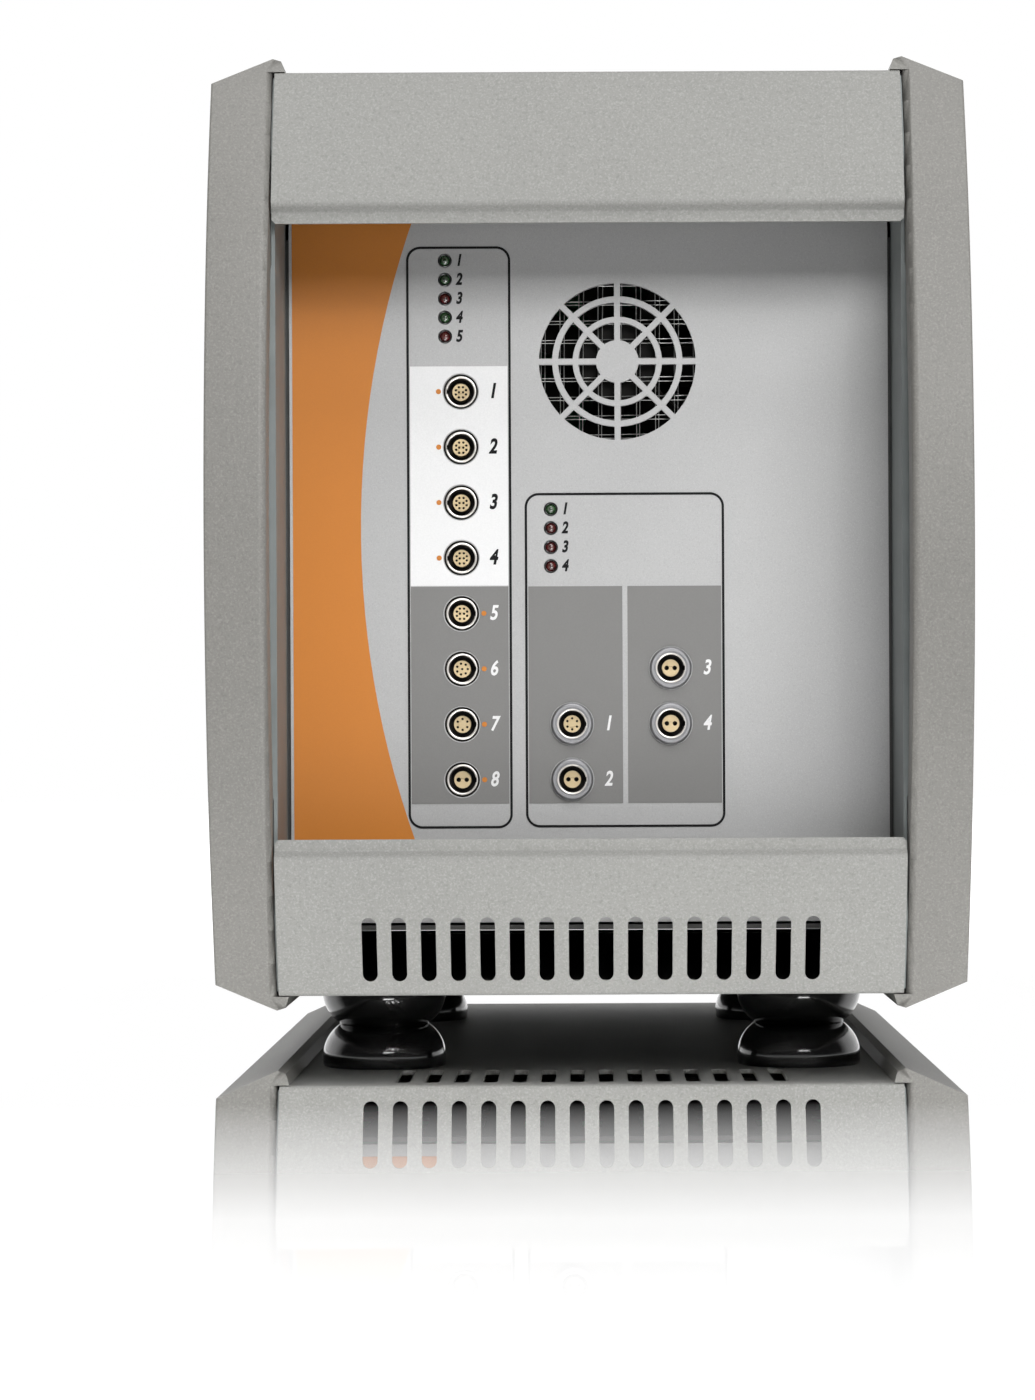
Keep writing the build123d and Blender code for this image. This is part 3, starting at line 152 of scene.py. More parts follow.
# Stage in metres and watts, with each light's name, place, aim, size and power
BACKDROP_EDGE = (-0.1, 0.25)
FLOOR_HALF = 6.0
LIGHTS = (
    ("key_light", (0.35, -2.2, 1.0), (0, -0.2, 0.16), (0.8, 0.6), 18.5),
    ("right_light", (1.0, -2.0, 1.3), (0, -0.2, 0.16), (0.8, 0.6), 22.0),
    ("top_light", (0.0, -1.1, 1.9), (0, -0.1, 0.15), (1.4, 0.8), 22.0),
    ("rear_light", (-0.9, 2.0, 1.6), (0, 0.2, 0.16), (1.0, 0.8), 14.0),
    ("floor_glow", (0.0, -0.27, 0.004), (0, -0.27, 1.0), (0.5, 0.16), 0.2),
)
SENSOR_WIDTH = 36.0


# Shader maths
class Number:
    """A number that changes over a surface. Arithmetic on it adds Math nodes."""

    def __init__(self, finish, socket):
        self.finish = finish
        self.socket = socket

    def math(self, operation, *others):
        return self.finish.node("ShaderNodeMath", {"operation": operation}, (self, *others))

    def __add__(self, other):
        return self.math("ADD", other)

    def __mul__(self, other):
        return self.math("MULTIPLY", other)

    def __rsub__(self, other):
        return self.finish.node("ShaderNodeMath", {"operation": "SUBTRACT"}, (other, self))

    __radd__ = __add__
    __rmul__ = __mul__

    def between(self, low, high):
        """0 at low and below, 1 at high and above, and straight in between."""
        settings = {"clamp": True}
        inputs = {"Value": self, "From Min": low, "From Max": high}
        return self.finish.node("ShaderNodeMapRange", settings, inputs)


class Finish:
    """The node tree of one finish, worked out on Object coordinates in millimetres."""

    def __init__(self, name, **constants):
        self.material = bpy.data.materials.new(name)
        self.material.use_nodes = True
        self.tree = self.material.node_tree
        self.shader = self.tree.nodes["Principled BSDF"]
        for socket, value in constants.items():
            self.shader.inputs[socket.replace("_", " ")].default_value = value
        coordinates = self.tree.nodes.new("ShaderNodeTexCoord")
        inputs = {"Vector": coordinates.outputs["Object"], "Scale": 1 / MILLIMETRE}
        self.place = self.node("ShaderNodeVectorMath", {"operation": "SCALE"}, inputs)

    def node(self, kind, settings, inputs, output=0):
        made = self.tree.nodes.new(kind)
        for key, value in settings.items():
            setattr(made, key, value)
        named = inputs.items() if isinstance(inputs, dict) else enumerate(inputs)
        for key, value in named:
            self.connect(made.inputs[key], value)
        return Number(self, made.outputs[output])

    def connect(self, socket, value):
        if isinstance(value, Number):
            self.tree.links.new(value.socket, socket)
        elif isinstance(value, bpy.types.NodeSocket):
            self.tree.links.new(value, socket)
        else:
            socket.default_value = value

    def axis(self, name):
        """One of the place's three numbers, in millimetres."""
        return self.node("ShaderNodeSeparateXYZ", {}, (self.place,), "XYZ".index(name))

    def stretched(self, x, y, z):
        """The place with each axis multiplied."""
        return self.node("ShaderNodeVectorMath", {"operation": "MULTIPLY"}, (self.place, (x, y, z)))

    def noise(self, size, detail=2.0, place=None):
        """Soft noise from 0 to 1 whose lumps are about that many millimetres across."""
        inputs = {"Vector": place or self.place, "Scale": 1.0 / size, "Detail": detail}
        return self.node("ShaderNodeTexNoise", {"noise_dimensions": "3D"}, inputs)

    def colours(self, factor, first, second):
        """A colour that runs from the first to the second as the factor goes from 0 to 1."""
        settings = {"data_type": "RGBA", "blend_type": "MIX"}
        inputs = {MIX_FACTOR: factor}
        for socket, colour in ((MIX_FIRST, first), (MIX_SECOND, second)):
            inputs[socket] = colour if isinstance(colour, Number) else (*colour, 1.0)
        return self.node("ShaderNodeMix", settings, inputs, MIX_RESULT)

    def feed(self, socket, value):
        self.connect(self.shader.inputs[socket], value)

    def done(self, base, roughness, height, depth):
        """Feeds colour and roughness, and bumps of that depth where the height goes from 0 to 1."""
        self.feed("Base Color", base)
        self.feed("Roughness", roughness)
        inputs = {"Height": height, "Distance": depth * MILLIMETRE, "Strength": 1.0}
        self.feed("Normal", self.node("ShaderNodeBump", {}, inputs))
        return self.material


def shade(colour, amount):
    """The colour made lighter or darker by a factor."""
    return tuple(min(1.0, part * amount) for part in colour[:3])


def powder_coat(name, colour, grain, depth, roughness, shine=0.45):
    """Sprayed textured coat: an even orange-peel grain with a slight mottle."""
    finish = Finish(name, Specular_IOR_Level=shine)
    grains = finish.noise(grain, 2.0)
    mottle = finish.noise(grain * 60, 3.0)
    specks = finish.noise(grain * 0.7, 1.0)
    base = finish.colours(mottle.between(0.3, 0.7), shade(colour, 0.965), shade(colour, 1.035))
    base = finish.colours(specks.between(0.5, 0.68) * 0.7, base, shade(colour, 1.3))
    base = finish.colours(grains.between(0.47, 0.3) * 0.5, base, shade(colour, 0.72))
    return finish.done(base, grains * 0.18 + (roughness - 0.09), grains, depth)


def sheet_metal(name, colour, roughness, grain=0.35, depth=0.01, along=(1.0, 1.0, 1.0)):
    """Plain or brushed sheet: fine lines or grain, with faint clouds."""
    finish = Finish(name, Metallic=1.0)
    lines = finish.noise(grain, 2.0, finish.stretched(*along))
    clouds = finish.noise(40.0, 3.0)
    base = finish.colours(lines, shade(colour, 0.9), shade(colour, 1.08))
    base = finish.colours(clouds.between(0.35, 0.7) * 0.5, base, shade(colour, 0.93))
    return finish.done(base, lines * 0.12 + clouds * 0.08 + (roughness - 0.1), lines, depth)


def silver_panel(name, colour, roughness):
    """Silver-grey panel: a fine sparkling grain over an even matt coat."""
    finish = Finish(name, Metallic=0.25, Specular_IOR_Level=0.5)
    grain = finish.noise(0.55, 2.0)
    sparkle = finish.noise(0.3, 1.0)
    clouds = finish.noise(50.0, 3.0)
    base = finish.colours(clouds.between(0.3, 0.7), shade(colour, 0.97), shade(colour, 1.03))
    base = finish.colours(sparkle.between(0.55, 0.78) * 0.7, base, shade(colour, 1.25))
    base = finish.colours(grain.between(0.48, 0.25) * 0.35, base, shade(colour, 0.72))
    return finish.done(base, grain * 0.2 + (roughness - 0.1), grain, 0.015)


def ink(name, colour, roughness=0.5, shine=0.4):
    """Screen-printed ink: even, with a faint mesh grain."""
    finish = Finish(name, Specular_IOR_Level=shine)
    grain = finish.noise(0.5, 2.0)
    clouds = finish.noise(25.0, 2.0)
    base = finish.colours(grain.between(0.3, 0.7), shade(colour, 0.955), shade(colour, 1.03))
    base = finish.colours(clouds.between(0.35, 0.7) * 0.4, base, shade(colour, 0.95))
    return finish.done(base, grain * 0.1 + (roughness - 0.05), grain, 0.01)


def orange_ink(name, colour, dark):
    """The orange field's ink with a faint grain, darkened by painted shade towards its top edge, under
    the top cover's lip.
    """
    finish = Finish(name, Specular_IOR_Level=0.4)
    grain = finish.noise(0.5, 2.0)
    # Painted shade: upwards from Z 215 mm the colour runs up to halfway to the darker one, where the
    # top cover's lip shades the panel
    height = finish.axis("Z").between(215.0, 292.0)
    base = finish.colours(height * 0.5, colour[:3], dark[:3])
    base = finish.colours(grain.between(0.35, 0.65) * 0.12, base, shade(colour, 1.25))
    return finish.done(base, grain * 0.1 + 0.42, grain, 0.01)


def moulding(name, colour, roughness, coat=0.0, grain=0.4, depth=0.01, shine=0.5):
    """Moulded plastic: fine spark-eroded grain and slight flow clouds."""
    finish = Finish(name, Coat_Weight=coat, Coat_Roughness=0.08, Specular_IOR_Level=shine)
    fine = finish.noise(grain, 2.0)
    flow = finish.noise(18.0, 3.0)
    base = finish.colours(flow.between(0.3, 0.7), shade(colour, 0.9), shade(colour, 1.1))
    return finish.done(base, fine * 0.12 + flow * 0.06 + (roughness - 0.09), fine, depth)


def plated(name, colour, roughness):
    """Satin nickel plate: tool marks under a soft shine."""
    finish = Finish(name, Metallic=0.85)
    marks = finish.noise(0.25, 3.0)
    tarnish = finish.noise(6.0, 3.0)
    base = finish.colours(tarnish.between(0.35, 0.7) * 0.5, colour[:3], shade(colour, 0.85))
    return finish.done(base, marks * 0.14 + (roughness - 0.07), marks, 0.004)


def lens(name, colour, rim):
    """Tinted lamp lens: a dark clear dome over a faintly lit core."""
    finish = Finish(name, Coat_Weight=1.0, Coat_Roughness=0.1, Specular_IOR_Level=0.4)
    clouds = finish.noise(1.4, 2.0)
    base = finish.colours(clouds.between(0.35, 0.65), rim[:3], colour[:3])
    return finish.done(base, clouds * 0.1 + 0.08, clouds, 0.02)


def circuit_board(name, colour, track):
    """Green board with its tracks showing faintly through the mask."""
    finish = Finish(name, Coat_Weight=0.4, Coat_Roughness=0.2)
    runs = finish.noise(5.0, 1.0, finish.stretched(1.0, 0.12, 1.0))
    base = finish.colours(runs.between(0.5, 0.54), colour[:3], track[:3])
    return finish.done(base, runs * 0.1 + 0.35, runs.between(0.5, 0.54), 0.03)


def pale_floor(name, colour, roughness):
    """Pale studio floor that glows as a light of its own, with a mirror under the case that fades out
    towards the camera.
    """
    finish = Finish(name, Roughness=0.6, Specular_IOR_Level=0.3, Emission_Strength=1.0)
    clouds = finish.noise(300.0, 2.0)
    finish.feed("Base Color", finish.colours(clouds, shade(colour, 0.99), shade(colour, 1.0)))
    inputs = {"Color": (*WHITE, 1.0), "Roughness": roughness}
    mirror = finish.node("ShaderNodeBsdfGlossy", {}, inputs)
    forward = finish.axis("Y")
    aside = finish.axis("X").math("ABSOLUTE")
    glow = forward.between(*GLOW_ZONE)
    finish.feed("Emission Color", finish.colours(glow, NEAR_GLOW, WHITE))
    share = forward.between(*MIRROR_NEAR) * MIRROR_NEAR_SHARE
    share = share + forward.between(*MIRROR_FAR) * MIRROR_FAR_SHARE
    share = share * (1.0 - forward.between(*MIRROR_BACK))
    share = share * (1.0 - aside.between(*MIRROR_SIDE))
    mixed = finish.node("ShaderNodeMixShader", {}, (share, finish.shader.outputs[0], mirror))
    finish.connect(finish.tree.nodes["Material Output"].inputs["Surface"], mixed)
    return finish.material


def studio_world(name, front_share):
    """White backdrop behind the object, and a dimmer room on the camera's side."""
    world = bpy.data.worlds.new(name)
    world.use_nodes = True
    tree = world.node_tree
    kinds = ("TexCoord", "SeparateXYZ", "MapRange", "LightPath", "Math")
    coordinates, parts, ramp, path, seen = [tree.nodes.new(f"ShaderNode{kind}") for kind in kinds]
    seen.operation = "MAXIMUM"
    ramp.inputs["From Min"].default_value = BACKDROP_EDGE[0]
    ramp.inputs["From Max"].default_value = BACKDROP_EDGE[1]
    ramp.inputs["To Min"].default_value = front_share
    tree.links.new(coordinates.outputs["Generated"], parts.inputs[0])
    tree.links.new(parts.outputs["Y"], ramp.inputs["Value"])
    tree.links.new(ramp.outputs[0], seen.inputs[0])
    tree.links.new(path.outputs["Is Camera Ray"], seen.inputs[1])
    background = tree.nodes["Background"]
    background.inputs["Color"].default_value = (*WHITE, 1.0)
    tree.links.new(seen.outputs[0], background.inputs["Strength"])
    return world


# Settings
def colour_setting(name, description, value):
    """A colour that a user may change."""
    return bpy.props.FloatVectorProperty(
        name=name, description=description, subtype="COLOR", size=3, min=0.0, max=1.0, default=value
    )


def length_setting(name, description, value):
    """A length in millimetres that a user may change."""
    description += ", in millimetres"
    return bpy.props.FloatProperty(name=name, description=description, default=value, min=0.0)


def list_setting(name, description, value):
    """Several numbers that a user may change."""
    return bpy.props.FloatVectorProperty(
        name=name, description=description, size=len(value), default=value
    )


class CaseSettings(bpy.types.PropertyGroup):
    """Colours and sizes of the case's finishes."""

    cheek_grey: colour_setting("Cheek grey", "Coat of the two side cheeks", (0.172, 0.168, 0.156))
    cover_grey: colour_setting("Cover grey", "Coat of the two covers", (0.243, 0.243, 0.231))
    grain: length_setting("Coat grain", "Width of the coat's grains", 0.95)
    grain_depth: length_setting("Grain depth", "Depth of the coat's grains", 0.07)
    chassis_grey: colour_setting("Chassis grey", "Coat of the chassis sheets", (0.168, 0.186, 0.184))
    # Painted shade: the inner sheets are coated near black, standing in for the shade behind the vent
    # slots
    shelf_grey: colour_setting("Shelf grey", "Coat of the inner sheets", (0.055, 0.055, 0.052))
    foot_black: colour_setting("Foot black", "Glossy black of the feet", (0.006, 0.006, 0.006))


LAMP_COLUMN = "X and Z of the upper lamp in millimetres, and the number of lamps"


class PanelSettings(bpy.types.PropertyGroup):
    """Colours and sizes of the front panel."""

    silver: colour_setting("Silver", "Grained silver of the panel", (0.385, 0.385, 0.384))
    orange: colour_setting("Orange", "Ink of the field with the round edge", (0.475, 0.162, 0.018))
    # Painted shade: the darker orange that the field takes near its top, under the top cover's lip
    orange_top: colour_setting("Orange top", "Ink of that field near its top", (0.33, 0.12, 0.02))
    white: colour_setting("White", "Ink of the white field", (0.70, 0.70, 0.70))
    grey: colour_setting("Grey", "Ink of the grey fields", (0.175, 0.173, 0.168))
    black: colour_setting("Black", "Ink of the lines", (0.006, 0.006, 0.0065))
    number_height: length_setting("Number height", "Height of the numbers by the sockets", 5.0)
    lamp_number_height: length_setting("Lamp number height", "Height of those by the lamps", 3.9)
    lamp_pitch: length_setting("Lamp pitch", "Distance between two lamps", 6.32)
    pstat_lamps: list_setting("Left lamps", LAMP_COLUMN, (-47.7, 257.3, 5.0))
    booster_lamps: list_setting("Right lamps", LAMP_COLUMN, (-12.8, 174.4, 4.0))
    number_skin: length_setting("Number skin", "Thickness of the ink of the numbers", 0.03)


class FittingSettings(bpy.types.PropertyGroup):
    """Sizes and colours of the sockets, the lamps and the mesh."""

    nickel: colour_setting("Nickel", "Satin plate of the sockets", (0.72, 0.69, 0.65))
    flange: colour_setting("Flange", "Darker plate of the wide flanges", (0.31, 0.31, 0.32))
    tan: colour_setting("Tan", "Moulded inserts of the sockets", (0.60, 0.47, 0.27))
    insert_recess: length_setting("Insert recess", "From a socket's mouth to its insert", 2.4)
    insert_hole_reach: length_setting("Contact reach", "From the middle to the last contact", 2.7)
    groove: length_setting("Groove depth", "Depth of the groove round a socket's mouth", 0.4)
    green: colour_setting("Green lens", "Lens of the green lamps", (0.03, 0.085, 0.03))
    red: colour_setting("Red lens", "Lens of the red lamps", (0.10, 0.012, 0.012))
    green_core: colour_setting("Green core", "Core behind a green lens", (0.10, 0.13, 0.09))
    red_core: colour_setting("Red core", "Core behind a red lens", (0.12, 0.045, 0.035))
    wire: length_setting("Mesh wire", "Thickness of the mesh's wire", 0.27)
    layer_gap: length_setting("Mesh layers", "Distance between the mesh's two layers", 0.6)
    layer_slip: length_setting("Mesh slip", "How far the back layer is off to the side", 1.3)
    wire_pitch: length_setting("Mesh pitch", "Distance between two wires of the mesh", 6.35)
    wire_wave: length_setting("Mesh wave", "How far a woven wire leaves its own plane", 0.08)


class RearSettings(bpy.types.PropertyGroup):
    """Sizes of the rear panel's small fittings."""

    wire_radius: length_setting("Guard wire", "Radius of the finger guard's wire", 0.8)
    ring_step: length_setting("Ring step", "Distance between two rings of the guard", 9.0)
    ring_count: bpy.props.IntProperty(
        name="Rings", description="Rings of the guard", default=4, min=1
    )
    eye_radius: length_setting("Eye radius", "Radius of the wire eye round a screw", 2.8)
    screw_radius: length_setting("Screw head", "Radius of the rear panel's screw heads", 2.9)
    screw_height: length_setting("Head height", "Height of those heads", 1.4)
    screw_inset: list_setting("Screw inset", "From the panel's edges, in millimetres", (7.0, 8.0))
    inlet_screw_inset: length_setting("Inlet screws", "From the inlet plate's sides", 5.0)


class StageSettings(bpy.types.PropertyGroup):
    """The pale floor, the lights and the camera."""

    floor: colour_setting("Floor", "Colour of the floor", (0.30, 0.30, 0.30))
    floor_roughness: bpy.props.FloatProperty(
        name="Floor roughness",
        description="How dull the floor's mirror is",
        default=0.0,
        min=0.0,
        max=1.0,
    )
    front_share: bpy.props.FloatProperty(
        name="Room light",
        description="Light from the camera's side of the room",
        default=0.04,
        min=0.0,
    )
    distance: length_setting("Camera distance", "From the case's front to the camera", 1250.0)
    height: length_setting("Camera height", "Height of the camera above the floor", 94.0)
    focal: length_setting("Focal length", "Focal length of the camera", 101.7)
    shift: list_setting("Shift", "Camera shift across and up", (-0.052, 0.036))
    roll: bpy.props.FloatProperty(
        name="Roll",
        description="Turn of the camera about its view",
        subtype="ANGLE",
        default=-0.0047,
    )


# Surfaces
def grid_faces(rows, columns, close_columns):
    """Four-sided faces of a grid of points, row after row, the last column joined to the first."""
    across = columns if close_columns else columns - 1
    row, column = np.meshgrid(np.arange(rows - 1), np.arange(across), indexing="ij")
    here = row * columns + column
    beside = row * columns + (column + 1) % columns
    return np.stack([here, beside, beside + columns, here + columns], axis=-1).reshape(-1, 4)


def turns(count):
    """Angles of that many equal steps round a circle."""
    return np.arange(count) * 2 * np.pi / count


def circle(radius, height, count, x=0.0, y=0.0):
    """Points round a level circle: its middle plus radius times cosine and sine of the angle."""
    turn = turns(count)
    across = x + radius * np.cos(turn)
    return np.stack([across, y + radius * np.sin(turn), np.full(count, height)], -1)


def turned(profile, segments):
    """Profile of (radius, height) swept about Z: each point runs round a circle of its radius."""
    profile = np.asarray(profile, float)
    turn = turns(segments)
    radius = profile[:, 0][:, None]
    x = radius * np.cos(turn)
    y = radius * np.sin(turn)
    z = np.repeat(profile[:, 1][:, None], segments, axis=1)
    points = np.stack([x, y, z], axis=-1).reshape(-1, 3)
    return points, [grid_faces(len(profile), segments, True)]


def arc_through(first, middle, last, steps):
    """Points from first to last on the one circle through all three."""
    (ax, ay), (bx, by), (cx, cy) = first, middle, last
    twice = 2 * (ax * (by - cy) + bx * (cy - ay) + cx * (ay - by))
    a, b, c = ax * ax + ay * ay, bx * bx + by * by, cx * cx + cy * cy
    x = (a * (by - cy) + b * (cy - ay) + c * (ay - by)) / twice
    y = (a * (cx - bx) + b * (ax - cx) + c * (bx - ax)) / twice
    start = math.atan2(ay - y, ax - x)
    sweep = (math.atan2(cy - y, cx - x) - start + math.pi) % (2 * math.pi) - math.pi
    turn = start + sweep * np.linspace(0, 1, steps)
    radius = math.hypot(ax - x, ay - y)
    return list(zip(x + radius * np.cos(turn), y + radius * np.sin(turn)))


def tube(path, radius, segments, closed=False):
    """Round wire: circles of one radius stand across the path at each of its points."""
    path = np.asarray(path, float)
    if closed:
        ahead = np.roll(path, -1, axis=0) - np.roll(path, 1, axis=0)
    else:
        ahead = np.gradient(path, axis=0)
    ahead /= np.linalg.norm(ahead, axis=1, keepdims=True)
    guide = np.array([0.0, 0.0, 1.0]) if abs(ahead[0][2]) < 0.9 else np.array([1.0, 0.0, 0.0])
    side = np.cross(ahead, guide)
    side /= np.linalg.norm(side, axis=1, keepdims=True)
    other = np.cross(side, ahead)
    turn = turns(segments)
    ring = side[:, None, :] * np.cos(turn)[None, :, None]
    ring = ring + other[:, None, :] * np.sin(turn)[None, :, None]
    points = path[:, None, :] + radius * ring
    faces = grid_faces(len(path), segments, True)
    count = len(path) * segments
    points = points.reshape(-1, 3)
    if closed:
        last = np.arange(segments) + count - segments
        first = np.arange(segments)
        bridge = np.stack([last, np.roll(last, -1), np.roll(first, -1), first], axis=-1)
        return points, [faces, bridge]
    middles = np.stack([path[0], path[-1]])
    points = np.concatenate([points, middles])
    first = np.arange(segments)
    last = first + count - segments
    near = np.stack([np.roll(first, -1), first, np.full(segments, count)], -1)
    far = np.stack([last, np.roll(last, -1), np.full(segments, count + 1)], -1)
    return points, [faces, near, far]


def cross_head(radius, height):
    """Low domed screw head: its height falls with a power of the radius, less a sunk cross."""
    rings = np.concatenate([np.linspace(0, radius * 0.6, 13)[1:], np.linspace(radius * 0.7, radius, 5)])
    profile = [(0.0, height)] + [(r, height * (1 - 0.55 * (r / radius) ** 2.4)) for r in rings]
    profile += [(radius, 0.0), (0.0, 0.0)]
    points, faces = turned(profile, 64)
    x, y = np.abs(points[:, 0]), np.abs(points[:, 1])
    arm = (np.minimum(x, y) < radius * 0.11) & (np.maximum(x, y) < radius * 0.56)
    core = x + y < radius * 0.3
    top = points[:, 2] > height * 0.3
    points[:, 2] -= np.where(top & (arm | core), height * 0.55, 0.0)
    return points, faces


def facing_front(points, x, y, z):
    """Turns points whose Z is outwards to look forwards from a place: X stays, Y becomes up."""
    return np.stack([x + points[:, 0], y - points[:, 2], z + points[:, 1]], axis=-1)


def facing_back(points, x, y, z):
    """Turns points whose Z is outwards to look backwards from a place: Y becomes up."""
    return np.stack([x - points[:, 0], y + points[:, 2], z + points[:, 1]], axis=-1)


def joined(parts):
    """Several (points, faces) as one."""
    points = []
    faces = []
    start = 0
    for part_points, part_faces in parts:
        points.append(part_points)
        faces += [group + start for group in part_faces]
        start += len(part_points)
    return np.concatenate(points), faces


def put_piece(name, shape, materials, body, replaced=(), sharp=35.0, choose=None):
    """Makes a closed piece from (points in millimetres, groups of faces), its faces outwards.

    With several materials, choose gives each face's from the middles of the faces."""
    points, groups = shape
    faces = [face for group in groups for face in group.tolist()]
    mesh = bpy.data.meshes.new(name)
    mesh.from_pydata((points * MILLIMETRE).tolist(), [], faces)
    shell = bmesh.new()
    shell.from_mesh(mesh)
    bmesh.ops.remove_doubles(shell, verts=shell.verts, dist=1e-6)
    bmesh.ops.recalc_face_normals(shell, faces=shell.faces)
    shell.to_mesh(mesh)
    shell.free()
    return place_piece(name, mesh, materials, body, replaced, sharp, choose)


def linked(name, data):
    """An object of that data in the scene."""
    made = bpy.data.objects.new(name, data)
    bpy.context.scene.collection.objects.link(made)
    return made


def place_piece(name, mesh, materials, body, replaced, sharp, choose=None):
    """Shades a mesh smooth up to an angle, gives it its finishes and lets it ride on a body."""
    mesh.polygons.foreach_set("use_smooth", [True] * len(mesh.polygons))
    mesh.set_sharp_from_angle(angle=math.radians(sharp))
    mesh.materials.clear()
    for material in materials:
        mesh.materials.append(material)
    if choose is not None:
        middles = np.empty(len(mesh.polygons) * 3)
        mesh.polygons.foreach_get("center", middles)
        chosen = choose(middles.reshape(-1, 3) / MILLIMETRE)
        mesh.polygons.foreach_set("material_index", chosen.astype(np.int32))
    piece = linked(name, mesh)
    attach(piece, body)
    if replaced:
        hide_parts(*replaced)
    return piece


def smooth_copy(node, materials, body, sharp=25.0, choose=None):
    """The CAD node with its triangles merged, so that its rounded faces shade smoothly."""
    shell = bmesh.new()
    shell.from_mesh(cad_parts[node].data)
    bmesh.ops.remove_doubles(shell, verts=shell.verts, dist=1e-6)
    mesh = bpy.data.meshes.new(f"{node}_smooth")
    shell.to_mesh(mesh)
    shell.free()
    piece = place_piece(f"{node}_smooth", mesh, materials, body, (node,), sharp, choose)
    weighted = piece.modifiers.new("weighted", "WEIGHTED_NORMAL")
    weighted.keep_sharp = True
    return piece


def dress(material, *nodes):
    """Gives CAD nodes a finish."""
    for name in nodes:
        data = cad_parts[name].data
        data.materials.clear()
        data.materials.append(material)


def node_box(name):
    """Lowest and highest corner of a CAD node in millimetres."""
    low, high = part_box(name)
    return np.array(low) / MILLIMETRE, np.array(high) / MILLIMETRE


def node_middle(name):
    """Middle of a CAD node's box in millimetres."""
    low, high = node_box(name)
    return (low + high) / 2


def lamp_places(panel, column):
    """X and Z of each lamp of a column, from the upper one down."""
    x, top, count = column
    return [(x, top - step * panel.lamp_pitch) for step in range(int(count))]


def numbers(name, entries, height, skin, y, material, weight):
    """Flat numbers on the panel: (text, x, z) of each, centred, made a mesh in their place."""
    shell = bmesh.new()
    for text, x, z in entries:
        curve = bpy.data.curves.new(name, "FONT")
        curve.body = text
        curve.align_x = "CENTER"
        curve.align_y = "CENTER"
        curve.size = height * LETTER_SIZE
        curve.shear = LETTER_SLANT
        curve.offset = height * weight
        curve.extrude = skin / 2
        carrier = linked(name, curve)
        flat = bpy.data.meshes.new_from_object(carrier)
        squeeze = Matrix.Diagonal((LETTER_SQUEEZE * MILLIMETRE, MILLIMETRE, MILLIMETRE, 1.0))
        upright = Matrix.Rotation(math.radians(90), 4, "X")
        place = Vector((x, y - skin / 2, z)) * MILLIMETRE
        flat.transform(Matrix.Translation(place) @ upright @ squeeze)
        shell.from_mesh(flat)
        bpy.data.objects.remove(carrier)
        bpy.data.meshes.remove(flat)
        bpy.data.curves.remove(curve)
    bmesh.ops.remove_doubles(shell, verts=shell.verts, dist=1e-7)
    bmesh.ops.recalc_face_normals(shell, faces=shell.faces)
    mesh = bpy.data.meshes.new(name)
    shell.to_mesh(mesh)
    shell.free()
    mesh.materials.append(material)
    piece = linked(name, mesh)
    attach(piece, CASE)
    return piece


# Pieces
class DressCase(bpy.types.Operator):
    """Coats the covers, cheeks, chassis and rear panel"""

    bl_idname = "potentiostat.dress_case"
    bl_label = "Case"

    def execute(self, context):
        case = context.scene.potentiostat_case
        cheek = powder_coat("cheek_coat", case.cheek_grey, case.grain, case.grain_depth, 0.5)
        cover = powder_coat("cover_coat", case.cover_grey, case.grain, case.grain_depth, 0.6, 0.3)
        chassis = moulding("chassis_coat", case.chassis_grey, 0.5, grain=0.5)
        rear = sheet_metal("rear_sheet", REAR_SHEET, 0.42, 0.3, 0.01, (0.05, 1.0, 1.0))
        screw = sheet_metal("screw_zinc", SCREW_ZINC, 0.3, 0.3, 0.01)
        for node in ("left_cheek", "right_cheek"):
            smooth_copy(node, [cheek], CASE)
        for node in ("top_cover", "bottom_cover"):
            smooth_copy(node, [cover], CASE)
        # Painted shade: the shelves, brackets and socket plate take the near-black coat
        shelf = moulding("shelf_painted_shade_coat", case.shelf_grey, 0.5, grain=0.5)
        dress(chassis, "left_side_wall", "right_side_wall")
        dress(shelf, "lower_shelf", "upper_shelf", "panel_brackets", "socket_plate")
        dress(rear, "rear_panel")
        dress(screw, "foot_screws", "fan_screws")
        return {"FINISHED"}


class DressPanel(bpy.types.Operator):
    """Finishes the front panel and its printed fields, and adds plain numbers"""

    bl_idname = "potentiostat.dress_panel"
    bl_label = "Front panel"

    def execute(self, context):
        panel = context.scene.potentiostat_panel
        black = ink("black_ink", panel.black, 0.6, 0.15)
        white = ink("white_ink", panel.white)
        dress(silver_panel("panel_silver", panel.silver, 0.42), "front_panel")
        dress(orange_ink("orange_ink", panel.orange, panel.orange_top), "orange_print")
        dress(white, "white_field")
        dress(ink("grey_ink", panel.grey), "grey_fields")
        dress(black, "frame_lines")
        face = node_box("white_field")[0][1]
        dark = []
        pale = []
        for index, node in enumerate(LEFT_SOCKETS, 1):
            x, y, z = node_middle(node)
            entry = (str(index), x + LEFT_NUMBER_ASIDE, z)
            (dark if node in PALE_LEFT_SOCKETS else pale).append(entry)
        for index, node in enumerate(RIGHT_SOCKETS, 1):
            x, y, z = node_middle(node)
            pale.append((str(index), x + RIGHT_NUMBER_ASIDE, z))
        small = []
        for column in (panel.pstat_lamps, panel.booster_lamps):
            for row, (x, z) in enumerate(lamp_places(panel, column)):
                small.append((str(row + 1), x + LAMP_NUMBER_ASIDE, z))
        height = panel.number_height
        low_height = panel.lamp_number_height
        skin = panel.number_skin
        front = node_box("front_panel")[0][1]
        numbers("dark_socket_numbers", dark, height, skin, face, black, DARK_WEIGHT)
        numbers("pale_socket_numbers", pale, height, skin, face, white, PALE_WEIGHT)
        numbers("lamp_numbers", small, low_height, skin, front, black, SMALL_WEIGHT)
        return {"FINISHED"}


